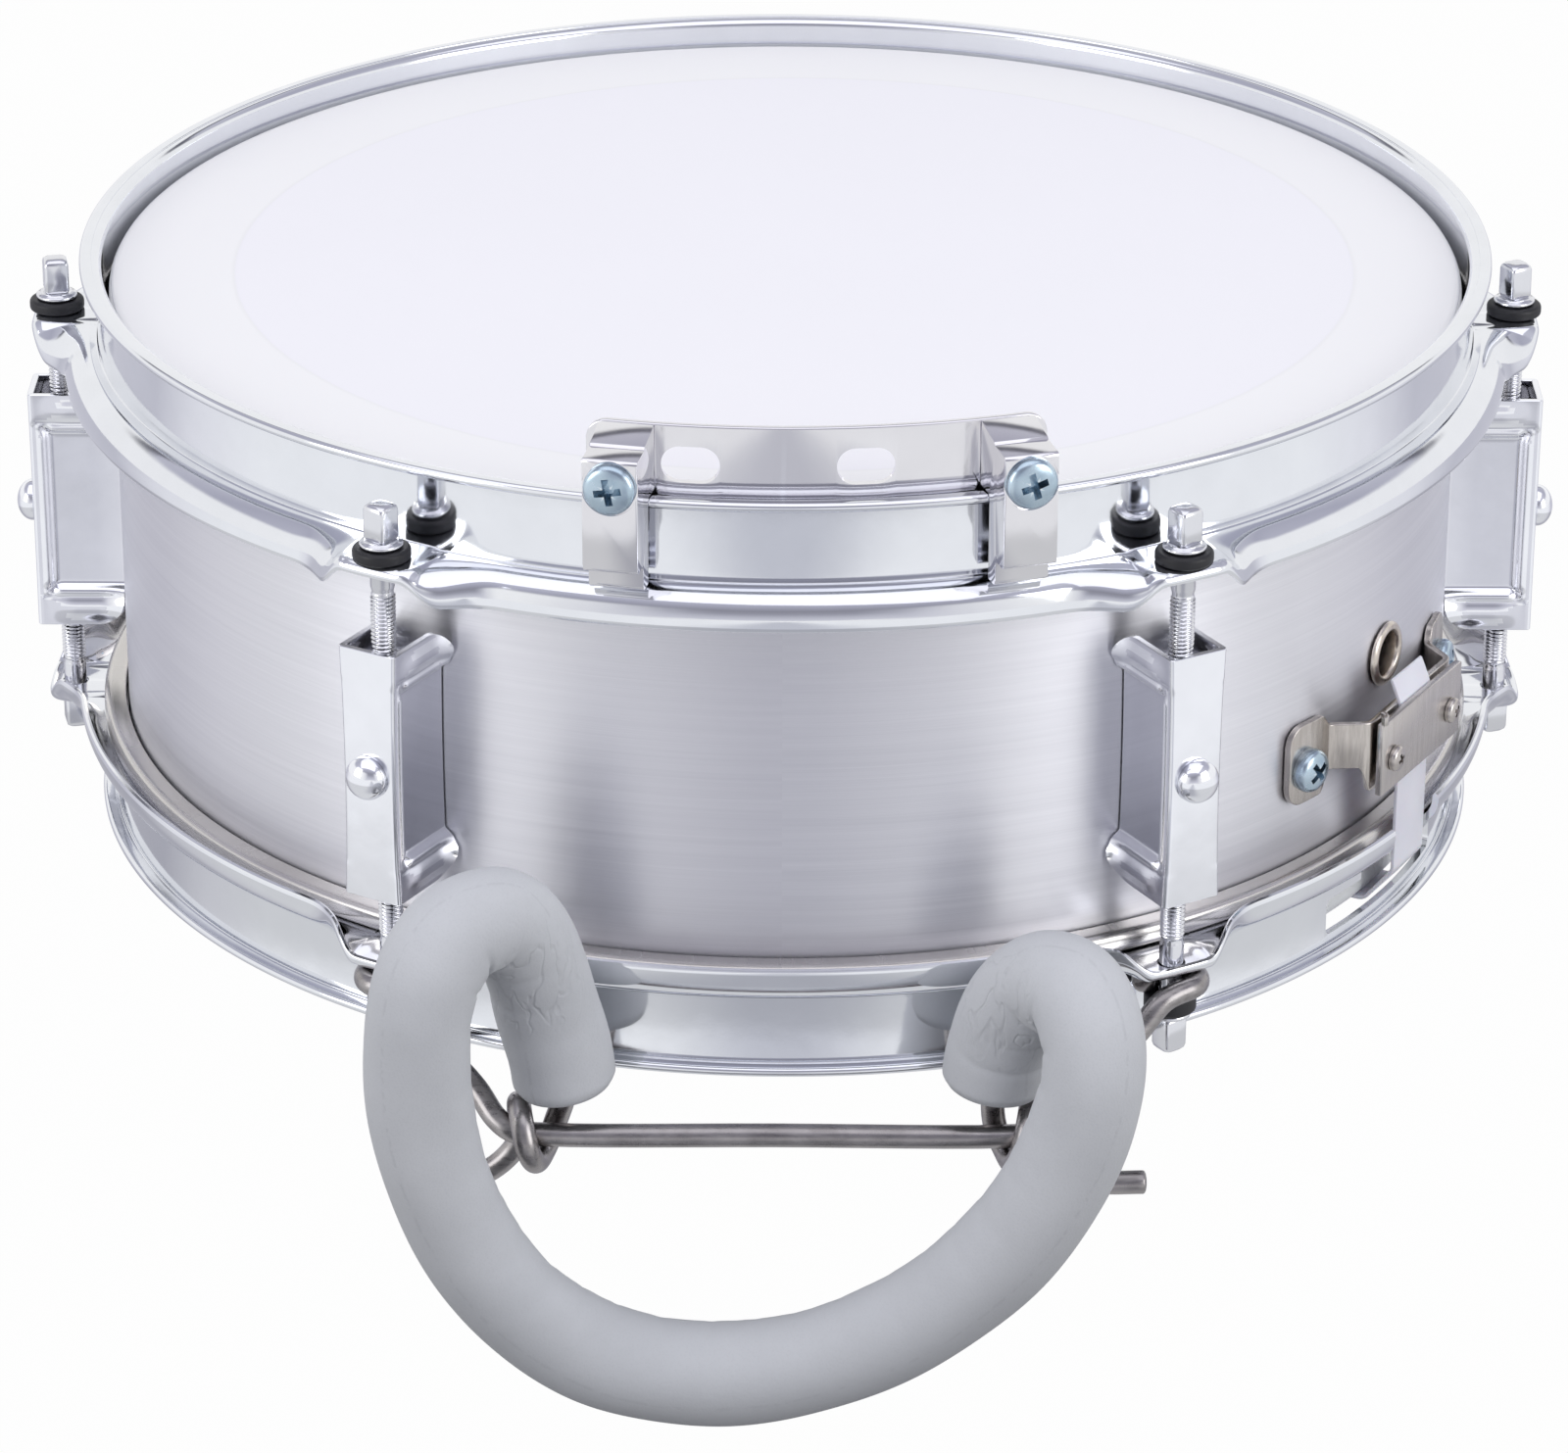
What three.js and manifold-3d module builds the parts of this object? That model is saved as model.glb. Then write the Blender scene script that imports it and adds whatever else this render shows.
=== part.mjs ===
// Marching snare drum with a carrying plate and a folding leg rest.
// Millimetres, +Z up. The origin is the middle of the batter head's top face, and the front is -Y.
import * as THREE from 'three';
import { mergeVertices } from 'three/addons/utils/BufferGeometryUtils.js';
import Module from 'manifold-3d';

const wasm = await Module();
wasm.setup();

// Numbers that hold at any size
const turnSegments = 48;
const smallSegments = 10;
const ventSegments = 18;
const weldShare = 1e-4;
const lugCount = 6;
const sectorAngle = 360 / lugCount;
const firstLugAngle = sectorAngle / 2;
const buttAngle = 60;
const strainerAngle = -120;
const slingAngle = 2.7;

// Clearances
const seat = 0.1;
const gap = 0.3;
const runningGap = 0.35;
const overrun = 2;

// Shell and heads
const shellRadius = 177.8;
const shellDepth = 139.7;
const shellWall = 2;
const bearingChamfer = 0.8;
const filmThickness = 0.3;
const collarDepth = 18.5;
const collarTurn = 1.3;

// Flesh hoops
const fleshBand = 0.7;
const fleshBandHeight = 14;
const fleshBeadSize = 6;

// Counter hoops, measured from the head's top face
const hoopPlay = 0.8;
const hoopMetal = 1.8;
const rimRise = 7;
const rimReach = 5.8;
const rimEdge = 2.4;
const hoopBaseDrop = 14.7;
const hoopFillet = 2;
const skirtReach = 6.4;
const skirtDrop = 24.3;
const earReach = 6.3;
const earLip = 4.2;
const earFlatAngle = 3.6;
const earEndAngle = 11;
const earSteps = 3;
const plainSteps = 3;

// Snare gates in the bottom hoop, measured up from its rim
const gateWidth = 62;
const gateSill = 5.2;
const gateHeight = 10;
const notchWidth = 21;

// Lugs
const lugInset = 36.5;
const lugWidth = 17;
const lugReach = 8.3;
const lugMetal = 1.8;
const lugCorner = 1.5;
const lugNutDepth = 8;
const lugNutInset = 8;
const lugNutReach = 13;

// Lug bolts
const domeRadius = 5.6;
const domeHeight = 4.9;
const lugBoltRadius = 2.5;
const lugNutRadius = 4.6;
const lugNutHeight = 4;
const lugBoltTail = 1;
const panShares = [[0, 1], [0.6, 0.93], [1, 0.5], [1, 0]];
const domeShares = [[0, 1], [0.5, 0.86], [0.86, 0.5], [1, 0]];

// Tension rods
const rodStand = 5.3;
const rodRadius = 3.2;
const rodStop = 9.65;
const rodHeadSize = 6.4;
const rodHeadHeight = 9.4;
const rodFlangeRadius = 5.4;
const rodFlangeHeight = 1.7;
const rubberRadius = 7.2;
const rubberHeight = 3.6;
const eyeletRubberHeight = 5;

// Sling plate, clamps and screws on the top rim
const slingPlateMetal = 2;
const slingPlateRise = 17;
const slingPlateFoot = 1.5;
const slingHalfAngle = 17.9;
const slingSteps = 14;
const slingCorner = 5;
const slotLength = 14;
const slotHeight = 9.3;
const slotRise = 6.9;
const slotOffsetShares = [-0.557, 0.209];
const slotCornerShare = 0.49;
const slotSteps = 4;
const clampSpanShare = 0.85;
const clampWidth = 13.5;
const clampDepth = 11.6;
const clampTopDrop = 1.9;
const clampFrontDrop = 3;
const clampStepDepth = 7.4;
const clampJawDrop = 14.8;
const clampFootDepth = 5.4;
const slingScrewRise = 6.9;
const slingScrewRadius = 2.4;
const slingScrewHeadRadius = 5.7;
const slingScrewHeadHeight = 2.8;

// Butt bracket and its clamp
const buttRise = 49.7;
const bracketMetal = 1.8;
const bracketFootHeight = 22;
const bracketFootInner = 31.5;
const bracketFootOuter = 45.5;
const bracketArmTop = 7.5;
const bracketArmHeight = 12.5;
const bracketReach = 1.9;
const bridgeHalf = 24;
const bridgeHeight = 19.4;
const bridgeEdgeShare = 0.5;
const bracketLeanShare = 0.8;
const footCorner = 5;
const clampPlateHalf = 23.6;
const clampPlateHeight = 20;
const clampPlateMetal = 2.1;
const clampPlateLow = 2.6;
const clampScrewLow = 4;
const clampScrewOffset = 17;
const clampScrewRadius = 1.6;
const clampScrewHeadRadius = 3.4;
const clampScrewHeadHeight = 2.2;
const mountScrewOffset = 38.8;
const mountScrewRadius = 1.9;
const mountScrewHeadRadius = 4.3;
const mountScrewHeadHeight = 4;
const mountScrewTail = 3;

// Snare strips and wires
const stripWidth = 17.6;
const stripMetal = 1;
const stripTabRise = 16.6;
const stripBendRise = 9.7;
const stripReach = 22;
const wireEndShare = 2 / 3;
const wireSize = 1.4;
const wirePitch = 3.2;
const wireCount = 16;
const endPlateWidth = 56;
const endPlateLength = 9;
const endPlateMetal = 1.8;

// Vent eyelet
const ventRise = 16;
const ventFlangeRadius = 8.3;
const ventFlangeHeight = 1.5;
const ventTubeRadius = 6.4;
const ventHoleRadius = 5.5;
const ventTail = 1.5;

// Strainer
const baseHalf = 15;
const baseClearance = 6.9;
const baseLength = 56;
const baseMetal = 3;
const baseScrewInset = 7.5;
const cheekMetal = 3;
const cheekDepth = 20;
const cheekLength = 50;
const bridgeMetal = 3;
const slideInset = 26;
const slideHeight = 26;
const slideDepth = 9;
const jawScrewOffset = 5.5;
const jawScrewInset = 39;
const leverPinRadius = 2.2;
const leverPinInset = 18;
const leverPinReach = 10;
const leverWidth = 9;
const leverMetal = 3;
const leverLength = 42;
const handleWidth = 14.4;
const leverHubRadius = 4.4;
const knobRadius = 6;
const knobHeight = 10;
const knobCornerShare = 0.8;
const knobStemRadius = 2.4;
const knobStemLength = 5;
const knobReach = 5.5;

// Leg rest: frame, bow and foam
const restRodRadius = 2.95;
const eyeletRadius = 6.8;
const eyeletTurnAngle = 250;
const eyeletStartAngle = -58;
const eyeletSteps = 8;
const barStand = 11.8;
const barHang = 15.3;
const barShift = -1.5;
const barHalf = 56.5;
const eyeFirstRadius = 6.5;
const eyeLastRadius = 8.7;
const eyeAdvance = 9.2;
const bowStemOffset = 54.2;
const bowHalf = 87;
const bowReach = 28;
const bowRise = 64;
const bowFall = 53;
const tailDrop = 17.2;
const tailLength = 22;
const foamRadius = 13;
const foamSides = 12;
const foamBore = 3.5;
const boreSides = 6;
const rodSides = 8;
const stepsBetweenPlaces = 2;

// How far each step of the bow's eyes has moved along the bar
const eyeAcrossShares = [0, 0.28, 0.5, 0.7, 0.86, 0.96, 1];

// How far each step's radius has grown from eyeFirstRadius to eyeLastRadius
const eyeGrowthShares = [0, 0.05, 0.1, 0.15, 0.24, 0.62, 1];

// Places along each arm of the frame, from its eyelet to the cross bar's end: across, forward and down
const armPlaceShares = [
  [0.13, 0.14, 0.05],
  [0.27, 0.28, 0.3],
  [0.586, 0.62, 0.715],
  [0.712, 0.85, 0.912],
  [0.815, 0.968, 0.983],
  [1, 1, 1],
];

// Places along each tail of the bow, from its eye to its end: outward and down
const tailPlaceShares = [
  [0.02, 0.42],
  [0.28, 0.86],
  [0.6, 1],
  [1, 1],
];

// Places along the bow, from its left end to its right end: across as shares of bowHalf,
// forward of the bar as shares of bowReach, and up from the bar as shares of bowRise or bowFall
const bowPlaceShares = [
  [-0.61, -0.18, 0.18],
  [-0.66, -0.15, 0.52],
  [-0.71, 0.02, 0.82],
  [-0.79, 0.3, 0.99],
  [-0.9, 0.62, 0.99],
  [-0.97, 0.84, 0.86],
  [-1, 0.91, 0.62],
  [-0.99, 0.91, 0.25],
  [-0.91, 0.9, -0.18],
  [-0.75, 0.9, -0.6],
  [-0.5, 0.9, -0.9],
  [-0.19, 0.9, -1],
  [0.12, 0.9, -0.91],
  [0.4, 0.9, -0.68],
  [0.63, 0.92, -0.32],
  [0.79, 0.96, 0.11],
  [0.86, 0.94, 0.45],
  [0.855, 0.78, 0.64],
  [0.81, 0.48, 0.725],
  [0.735, 0.18, 0.7],
  [0.66, -0.03, 0.56],
  [0.62, -0.15, 0.38],
  [0.6, -0.18, 0.19],
];

// Sizes worked out from the ones above
const shellInner = shellRadius - shellWall;
const snareSide = -shellDepth;
const middle = snareSide / 2;
const collarInner = shellRadius + gap;
const collarOuter = collarInner + filmThickness;
const fleshInner = collarOuter + seat;
const fleshOuter = fleshInner + fleshBand;
const fleshBeadOuter = fleshInner + fleshBeadSize;
const hoopInnerRadius = fleshOuter + hoopPlay;
const hoopOuterWall = hoopInnerRadius + hoopMetal;
const rimRadius = hoopInnerRadius + rimReach;
const skirtRadius = hoopOuterWall + skirtReach;
const rodCircle = skirtRadius + rodStand;
const earRadius = rodCircle + earReach;
const lugFront = rodCircle + lugReach;
const clampFront = rimRadius + clampDepth;
const bracketFront = fleshBeadOuter + bracketReach;
const barReach = skirtRadius + barStand;
const stripInner = hoopInnerRadius - stripReach;
const wireHalf = stripInner - endPlateLength * wireEndShare;
const hoopBaseUnder = hoopBaseDrop + hoopMetal;
const fleshBeadTop = hoopBaseUnder + gap;
const lugTop = -lugInset;
const lugBottom = snareSide + lugInset;
const rodReach = -middle - hoopBaseDrop - rodStop;
const buttDrop = shellDepth - buttRise;
const ventDrop = buttDrop - ventRise;
const bracketArmTopDrop = buttDrop - bracketArmTop;
const clampPlateDrop = buttDrop + clampPlateLow;
const clampScrewDrop = buttDrop + clampScrewLow;
const stripTabDrop = buttDrop - stripTabRise;
const stripBendDrop = shellDepth - stripBendRise;
const baseTopDrop = shellDepth - fleshBeadTop - fleshBeadSize - baseClearance - baseLength;
const slideTopDrop = baseTopDrop + slideInset;
const jawScrewDrop = baseTopDrop + jawScrewInset;
const leverPinDrop = baseTopDrop + leverPinInset;
const barDrop = shellDepth + barHang;
const lugBack = shellRadius + gap;
const rodHole = rodRadius + runningGap;
const stripBack = bracketFront + seat;
const stripFace = stripBack + stripMetal;

const chrome = { color: 0xd5d7dc, metalness: 1, roughness: 0.12 };
const aluminium = { color: 0xc4c4cc, metalness: 1, roughness: 0.38 };
const satinAluminium = { color: 0xc9c5c0, metalness: 1, roughness: 0.3 };
const coatedFilm = { color: 0xefeff1, metalness: 0, roughness: 0.55 };
const clearFilm = { color: 0xe4e6e6, metalness: 0, roughness: 0.2 };
const rubber = { color: 0x202024, metalness: 0, roughness: 0.6 };
const nickel = { color: 0xb9ab9a, metalness: 1, roughness: 0.3 };
const zinc = { color: 0xb8cfda, metalness: 1, roughness: 0.25 };
const plastic = { color: 0xf0f0f6, metalness: 0, roughness: 0.4 };
const stainless = { color: 0xa79f9b, metalness: 1, roughness: 0.35 };
const steelWire = { color: 0xb4b6ba, metalness: 1, roughness: 0.3 };
const foamGrey = { color: 0xbfc3c6, metalness: 0, roughness: 0.9 };

const drum = new THREE.Group();

function addPiece(name, geometry, look) {
  const piece = new THREE.Mesh(geometry, new THREE.MeshStandardMaterial(look));
  piece.name = name;
  drum.add(piece);
  return piece;
}

// A geometry whose faces point out, whichever way its outline ran.
function outward(geometry) {
  const flat = geometry.index ? geometry.toNonIndexed() : geometry.clone();
  const place = flat.attributes.position;
  const a = new THREE.Vector3();
  const b = new THREE.Vector3();
  const c = new THREE.Vector3();
  let volume = 0;
  for (let i = 0; i < place.count; i += 3) {
    a.fromBufferAttribute(place, i);
    b.fromBufferAttribute(place, i + 1);
    c.fromBufferAttribute(place, i + 2);
    volume += a.dot(b.cross(c));
  }
  if (volume > 0) return flat;
  for (let i = 0; i < place.count; i += 3) {
    a.fromBufferAttribute(place, i);
    b.fromBufferAttribute(place, i + 1);
    place.setXYZ(i, b.x, b.y, b.z);
    place.setXYZ(i + 1, a.x, a.y, a.z);
  }
  return flat;
}

function toSolid(geometry) {
  const bare = outward(geometry);
  bare.deleteAttribute('normal');
  bare.deleteAttribute('uv');
  const merged = mergeVertices(bare, weldShare);
  const vertProperties = new Float32Array(merged.attributes.position.array);
  const triVerts = new Uint32Array(merged.index.array);
  return new wasm.Manifold(new wasm.Mesh({ numProp: 3, vertProperties, triVerts }));
}

function toGeometry(solid) {
  const mesh = solid.getMesh();
  const geometry = new THREE.BufferGeometry();
  geometry.setAttribute('position', new THREE.BufferAttribute(mesh.vertProperties, 3));
  geometry.setIndex(new THREE.BufferAttribute(mesh.triVerts, 1));
  geometry.computeVertexNormals();
  return geometry;
}

function join(first, ...others) {
  return toGeometry(others.reduce((sum, other) => sum.add(toSolid(other)), toSolid(first)));
}

function cut(first, ...others) {
  return toGeometry(others.reduce((rest, other) => rest.subtract(toSolid(other)), toSolid(first)));
}

function overlap(first, second) {
  return toGeometry(toSolid(first).intersect(toSolid(second)));
}

function outline(points) {
  return new THREE.Shape(points.map(([x, y]) => new THREE.Vector2(x, y)));
}

// A solid of revolution about Z: points are [radius, height].
function turned(points, segments = turnSegments) {
  const first = points[0];
  const closed = first[0] === 0 ? points : [...points, first];
  const profile = closed.map(([radius, height]) => new THREE.Vector2(radius, height));
  return outward(new THREE.LatheGeometry(profile, segments).rotateX(Math.PI / 2));
}

// Radial pieces are drawn with X pointing out from the axis, Y along the rim and Z up.
function plan(points, low, high) {
  const geometry = new THREE.ExtrudeGeometry(outline(points), { depth: high - low, bevelEnabled: false });
  return geometry.translate(0, 0, low);
}

function profile(points, width) {
  const geometry = new THREE.ExtrudeGeometry(outline(points), { depth: width, bevelEnabled: false });
  return geometry.rotateX(Math.PI / 2).translate(0, width / 2, 0);
}

function face(points, near, far) {
  const geometry = new THREE.ExtrudeGeometry(outline(points), { depth: far - near, bevelEnabled: false });
  const yzx = new THREE.Matrix4().makeBasis(
    new THREE.Vector3(0, 1, 0),
    new THREE.Vector3(0, 0, 1),
    new THREE.Vector3(1, 0, 0),
  );
  return geometry.applyMatrix4(yzx).translate(near, 0, 0);
}

function box(near, far, left, right, low, high) {
  return plan([[near, left], [far, left], [far, right], [near, right]], low, high);
}

// A turned piece laid along X, out from the drum's axis: points are [radius, distance from the axis].
function radial(points, across, height, segments = smallSegments) {
  return turned(points, segments).rotateY(Math.PI / 2).translate(0, across, height);
}

function rodAlong(radius, near, far, across, height, segments = smallSegments) {
  return radial([[0, near], [radius, near], [radius, far], [0, far]], across, height, segments);
}

function post(radius, low, high, reach, across, segments = smallSegments) {
  const points = [[0, low], [radius, low], [radius, high], [0, high]];
  return turned(points, segments).translate(reach, across, 0);
}

// Turns a radial piece to its place round the drum. Angles run from the front to the right.
function atAngle(geometry, angle) {
  return geometry.rotateZ(THREE.MathUtils.degToRad(angle) - Math.PI / 2);
}

function roundedRectangle(width, height, corner, steps, centreX, centreY) {
  const points = [];
  const quarters = [[1, 1, 0], [-1, 1, 1], [-1, -1, 2], [1, -1, 3]];
  for (const [sideX, sideY, quarter] of quarters) {
    for (let step = 0; step <= steps; step += 1) {
      const angle = (quarter + step / steps) * Math.PI / 2;
      const x = centreX + sideX * (width / 2 - corner) + corner * Math.cos(angle);
      const y = centreY + sideY * (height / 2 - corner) + corner * Math.sin(angle);
      points.push([x, y]);
    }
  }
  return points;
}

// Turns a batter side piece over to the snare side.
function turnedOver(geometry) {
  return outward(geometry.scale(1, 1, -1).translate(0, 0, snareSide));
}

function shell() {
  const top = -filmThickness - seat;
  const bottom = snareSide - top;
  const tube = turned([
    [shellInner, bottom],
    [shellRadius - bearingChamfer, bottom],
    [shellRadius, bottom + bearingChamfer],
    [shellRadius, top - bearingChamfer],
    [shellRadius - bearingChamfer, top],
    [shellInner, top],
  ]);
  const near = shellInner - overrun;
  const far = shellRadius + overrun;
  const holes = [];
  for (let lug = 0; lug < lugCount; lug += 1) {
    const hole = rodAlong(lugBoltRadius + seat, near, far, 0, middle, smallSegments);
    holes.push(atAngle(hole, firstLugAngle + lug * sectorAngle));
  }
  holes.push(atAngle(rodAlong(ventTubeRadius + seat, near, far, 0, -ventDrop, ventSegments), buttAngle));
  for (const side of [-1, 1]) {
    const hole = rodAlong(mountScrewRadius + seat, near, far, 0, -buttDrop);
    holes.push(atAngle(hole, buttAngle + side * mountScrewAngle()));
  }
  for (const height of strainerScrewHeights()) {
    holes.push(atAngle(rodAlong(mountScrewRadius + seat, near, far, 0, height), strainerAngle));
  }
  return cut(tube, ...holes);
}

function mountScrewAngle() {
  return THREE.MathUtils.radToDeg(Math.asin(mountScrewOffset / shellRadius));
}

function strainerScrewHeights() {
  return [-baseTopDrop - baseScrewInset, -baseTopDrop - baseLength + baseScrewInset];
}

function head() {
  const flatEdge = shellRadius - bearingChamfer;
  return turned([
    [0, -filmThickness],
    [flatEdge, -filmThickness],
    [collarInner, -filmThickness - collarInner + flatEdge],
    [collarInner, -collarDepth],
    [collarOuter, -collarDepth],
    [collarOuter, -collarTurn],
    [flatEdge + seat, 0],
    [0, 0],
  ]);
}

function fleshHoop() {
  const third = fleshBeadSize / 3;
  const low = -fleshBeadTop - fleshBeadSize;
  return turned([
    [fleshInner, low],
    [fleshInner + 2 * third, low],
    [fleshBeadOuter, low + third],
    [fleshBeadOuter, low + 2 * third],
    [fleshInner + 2 * third, -fleshBeadTop],
    [fleshOuter, -fleshBeadTop],
    [fleshOuter, low + fleshBandHeight],
    [fleshInner, low + fleshBandHeight],
  ]);
}

// The hoop's section where its flange reaches to a radius and its edge hangs to a height.
function hoopSection(reach, edge) {
  const rimUnder = rimRise - rimEdge;
  const corner = rimEdge / 2;
  return [
    [hoopInnerRadius, rimRise],
    [hoopInnerRadius, -hoopBaseDrop],
    [hoopInnerRadius + hoopMetal, -hoopBaseUnder],
    [reach - hoopMetal, -hoopBaseUnder],
    [reach - hoopMetal, -edge],
    [reach, -edge],
    [reach, -hoopBaseUnder],
    [reach - hoopMetal, -hoopBaseDrop],
    [hoopOuterWall + hoopFillet, -hoopBaseDrop],
    [hoopOuterWall, -hoopBaseDrop + hoopFillet],
    [hoopOuterWall, rimUnder],
    [rimRadius, rimUnder],
    [rimRadius, rimRise - corner],
    [rimRadius - corner, rimRise],
  ];
}

// Angles of one sector from its ear's middle, with how much of the ear's shape each one has.
function hoopSteps() {
  const half = [[0, 1], [earFlatAngle, 1]];
  for (let step = 1; step <= earSteps; step += 1) {
    const part = step / earSteps;
    const angle = THREE.MathUtils.lerp(earFlatAngle, earEndAngle, part);
    half.push([angle, 1 - THREE.MathUtils.smootherstep(part, 0, 1)]);
  }
  for (let step = 1; step <= plainSteps; step += 1) {
    half.push([THREE.MathUtils.lerp(earEndAngle, sectorAngle / 2, step / plainSteps), 0]);
  }
  const before = half.slice(1, -1).reverse().map(([angle, share]) => [-angle, share]);
  return [...before, ...half];
}

function hoopRing() {
  const sections = [];
  for (let lug = 0; lug < lugCount; lug += 1) {
    for (const [offset, share] of hoopSteps()) {
      const reach = THREE.MathUtils.lerp(skirtRadius, earRadius, share);
      const edge = THREE.MathUtils.lerp(skirtDrop, hoopBaseDrop + earLip, share);
      const angle = THREE.MathUtils.degToRad(firstLugAngle + lug * sectorAngle + offset);
      const around = [Math.sin(angle), -Math.cos(angle)];
      sections.push(hoopSection(reach, edge).map(([r, z]) => [around[0] * r, around[1] * r, z]));
    }
  }
  const sides = sections[0].length;
  const positions = sections.flat(2);
  const index = [];
  for (let ring = 0; ring < sections.length; ring += 1) {
    const next = (ring + 1) % sections.length;
    for (let side = 0; side < sides; side += 1) {
      const beside = (side + 1) % sides;
      const here = ring * sides;
      const there = next * sides;
      index.push(here + side, here + beside, there + side);
      index.push(there + side, here + beside, there + beside);
    }
  }
  const geometry = new THREE.BufferGeometry();
  geometry.setAttribute('position', new THREE.Float32BufferAttribute(positions, 3));
  geometry.setIndex(index);
  return outward(geometry);
}

function hoop() {
  const holes = [];
  for (let lug = 0; lug < lugCount; lug += 1) {
    const hole = post(rodHole, -hoopBaseUnder - overrun, -hoopBaseDrop + overrun, rodCircle, 0);
    holes.push(atAngle(hole, firstLugAngle + lug * sectorAngle));
  }
  return cut(hoopRing(), ...holes);
}

function bottomHoop() {
  const rim = snareSide - rimRise;
  const sill = rim + gateSill;
  const head = sill + gateHeight;
  const near = hoopInnerRadius - skirtRadius + shellRadius;
  const far = earRadius + overrun;
  const gates = [];
  for (const angle of [buttAngle, strainerAngle]) {
    gates.push(atAngle(box(near, skirtRadius, -gateWidth / 2, gateWidth / 2, sill, head), angle));
    const top = snareSide + hoopBaseDrop + overrun + skirtDrop;
    const notch = box(near, far, -notchWidth / 2, notchWidth / 2, head - overrun, top);
    gates.push(atAngle(notch, angle));
  }
  return cut(turnedOver(hoop()), ...gates);
}

function lug() {
  const half = lugWidth / 2;
  const inside = half - lugMetal;
  const channel = plan([
    [lugBack, -half],
    [lugFront - lugCorner, -half],
    [lugFront, -half + lugCorner],
    [lugFront, half - lugCorner],
    [lugFront - lugCorner, half],
    [lugBack, half],
    [lugBack, inside],
    [lugFront - lugMetal, inside],
    [lugFront - lugMetal, -inside],
    [lugBack, -inside],
  ], lugBottom, lugTop);
  const bite = lugMetal / 2;
  const nutFar = lugFront - bite;
  const nutNear = nutFar - lugNutReach;
  const nuts = [lugTop - lugNutInset - lugNutDepth, lugBottom + lugNutInset].map((low) => (
    box(nutNear, nutFar, -inside - bite, inside + bite, low, low + lugNutDepth)
  ));
  return cut(
    join(channel, ...nuts),
    post(rodHole, lugBottom - overrun, lugTop + overrun, rodCircle, 0),
    rodAlong(lugBoltRadius + seat, lugFront - lugMetal - overrun, lugFront + overrun, 0, middle),
  );
}

function lugBolt() {
  const under = lugFront + seat;
  const nutOuter = shellInner - gap;
  const nutInner = nutOuter - lugNutHeight;
  return radial([
    ...domeShares.map(([out, up]) => [domeRadius * out, under + domeHeight * up]),
    [lugBoltRadius, under],
    [lugBoltRadius, nutOuter],
    [lugNutRadius, nutOuter],
    [lugNutRadius, nutInner],
    [lugBoltRadius, nutInner - lugBoltTail],
    [0, nutInner - lugBoltTail],
  ], 0, middle);
}

// A tension rod whose flange rests a given height above the ear.
function tensionRod(standing) {
  const flangeLow = -hoopBaseDrop + standing + seat;
  const flangeTop = flangeLow + rodFlangeHeight;
  const shank = turned([
    [0, flangeTop],
    [rodFlangeRadius, flangeTop - seat],
    [rodFlangeRadius, flangeLow],
    [rodRadius, flangeLow],
    [rodRadius, -hoopBaseDrop - rodReach],
    [0, -hoopBaseDrop - rodReach],
  ], smallSegments).translate(rodCircle, 0, 0);
  const half = rodHeadSize / 2;
  const square = roundedRectangle(rodHeadSize, rodHeadSize, half / 4, 1, rodCircle, 0);
  return join(shank, plan(square, flangeTop - rodFlangeHeight / 2, flangeTop + rodHeadHeight));
}

function rubberWasher() {
  const low = -hoopBaseDrop + seat;
  return turned([
    [rodHole, low],
    [rubberRadius, low],
    [rubberRadius, low + rubberHeight - seat],
    [rodHole, low + rubberHeight - seat],
  ], smallSegments).translate(rodCircle, 0, 0);
}

function slingPlate() {
  const outer = hoopInnerRadius - runningGap * 2;
  const inner = outer - slingPlateMetal;
  const points = [];
  for (let step = 0; step <= slingSteps; step += 1) {
    const angle = THREE.MathUtils.degToRad(slingHalfAngle * (2 * step / slingSteps - 1));
    points.push([outer * Math.cos(angle), outer * Math.sin(angle)]);
  }
  for (let step = slingSteps; step >= 0; step -= 1) {
    const angle = THREE.MathUtils.degToRad(slingHalfAngle * (2 * step / slingSteps - 1));
    points.push([inner * Math.cos(angle), inner * Math.sin(angle)]);
  }
  const top = rimRise + slingPlateRise;
  const strip = plan(points, slingPlateFoot, top);
  const height = top - slingPlateFoot;
  const width = 2 * inner * Math.sin(THREE.MathUtils.degToRad(slingHalfAngle));
  const near = inner / 2;
  const far = outer + overrun;
  const corners = roundedRectangle(width, height, slingCorner, 3, 0, slingPlateFoot + height / 2);
  const rounded = overlap(strip, face(corners, near, far));
  const half = inner * Math.sin(THREE.MathUtils.degToRad(slingHalfAngle));
  const slots = slotOffsetShares.map((share) => {
    const corner = slotHeight * slotCornerShare;
    const height = rimRise + slotRise;
    const slot = roundedRectangle(slotLength, slotHeight, corner, slotSteps, half * share, height);
    return face(slot, near, far);
  });
  const holes = [-1, 1].map((side) => {
    const hole = rodAlong(slingScrewRadius + seat, near, far, 0, rimRise + slingScrewRise);
    return hole.rotateZ(side * clampAngle());
  });
  return cut(rounded, ...slots, ...holes);
}

function clampAngle() {
  return THREE.MathUtils.degToRad(slingHalfAngle * clampSpanShare);
}

function clampBlock() {
  const back = hoopInnerRadius - runningGap;
  const top = rimRise + slingPlateRise;
  const jaw = rimRadius + runningGap;
  const under = rimRise + runningGap;
  const low = rimRise - clampJawDrop;
  const foot = -hoopBaseDrop + gap;
  const block = profile([
    [back, top],
    [back, under],
    [jaw, under],
    [jaw, foot],
    [jaw + clampFootDepth, foot],
    [jaw + clampFootDepth, low],
    [clampFront, low],
    [clampFront, top - clampFrontDrop],
    [back + clampStepDepth, top - clampTopDrop],
  ], clampWidth);
  const screwAt = rimRise + slingScrewRise;
  const hole = rodAlong(slingScrewRadius + seat, back - overrun, clampFront + overrun, 0, screwAt);
  return cut(block, hole);
}

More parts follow.
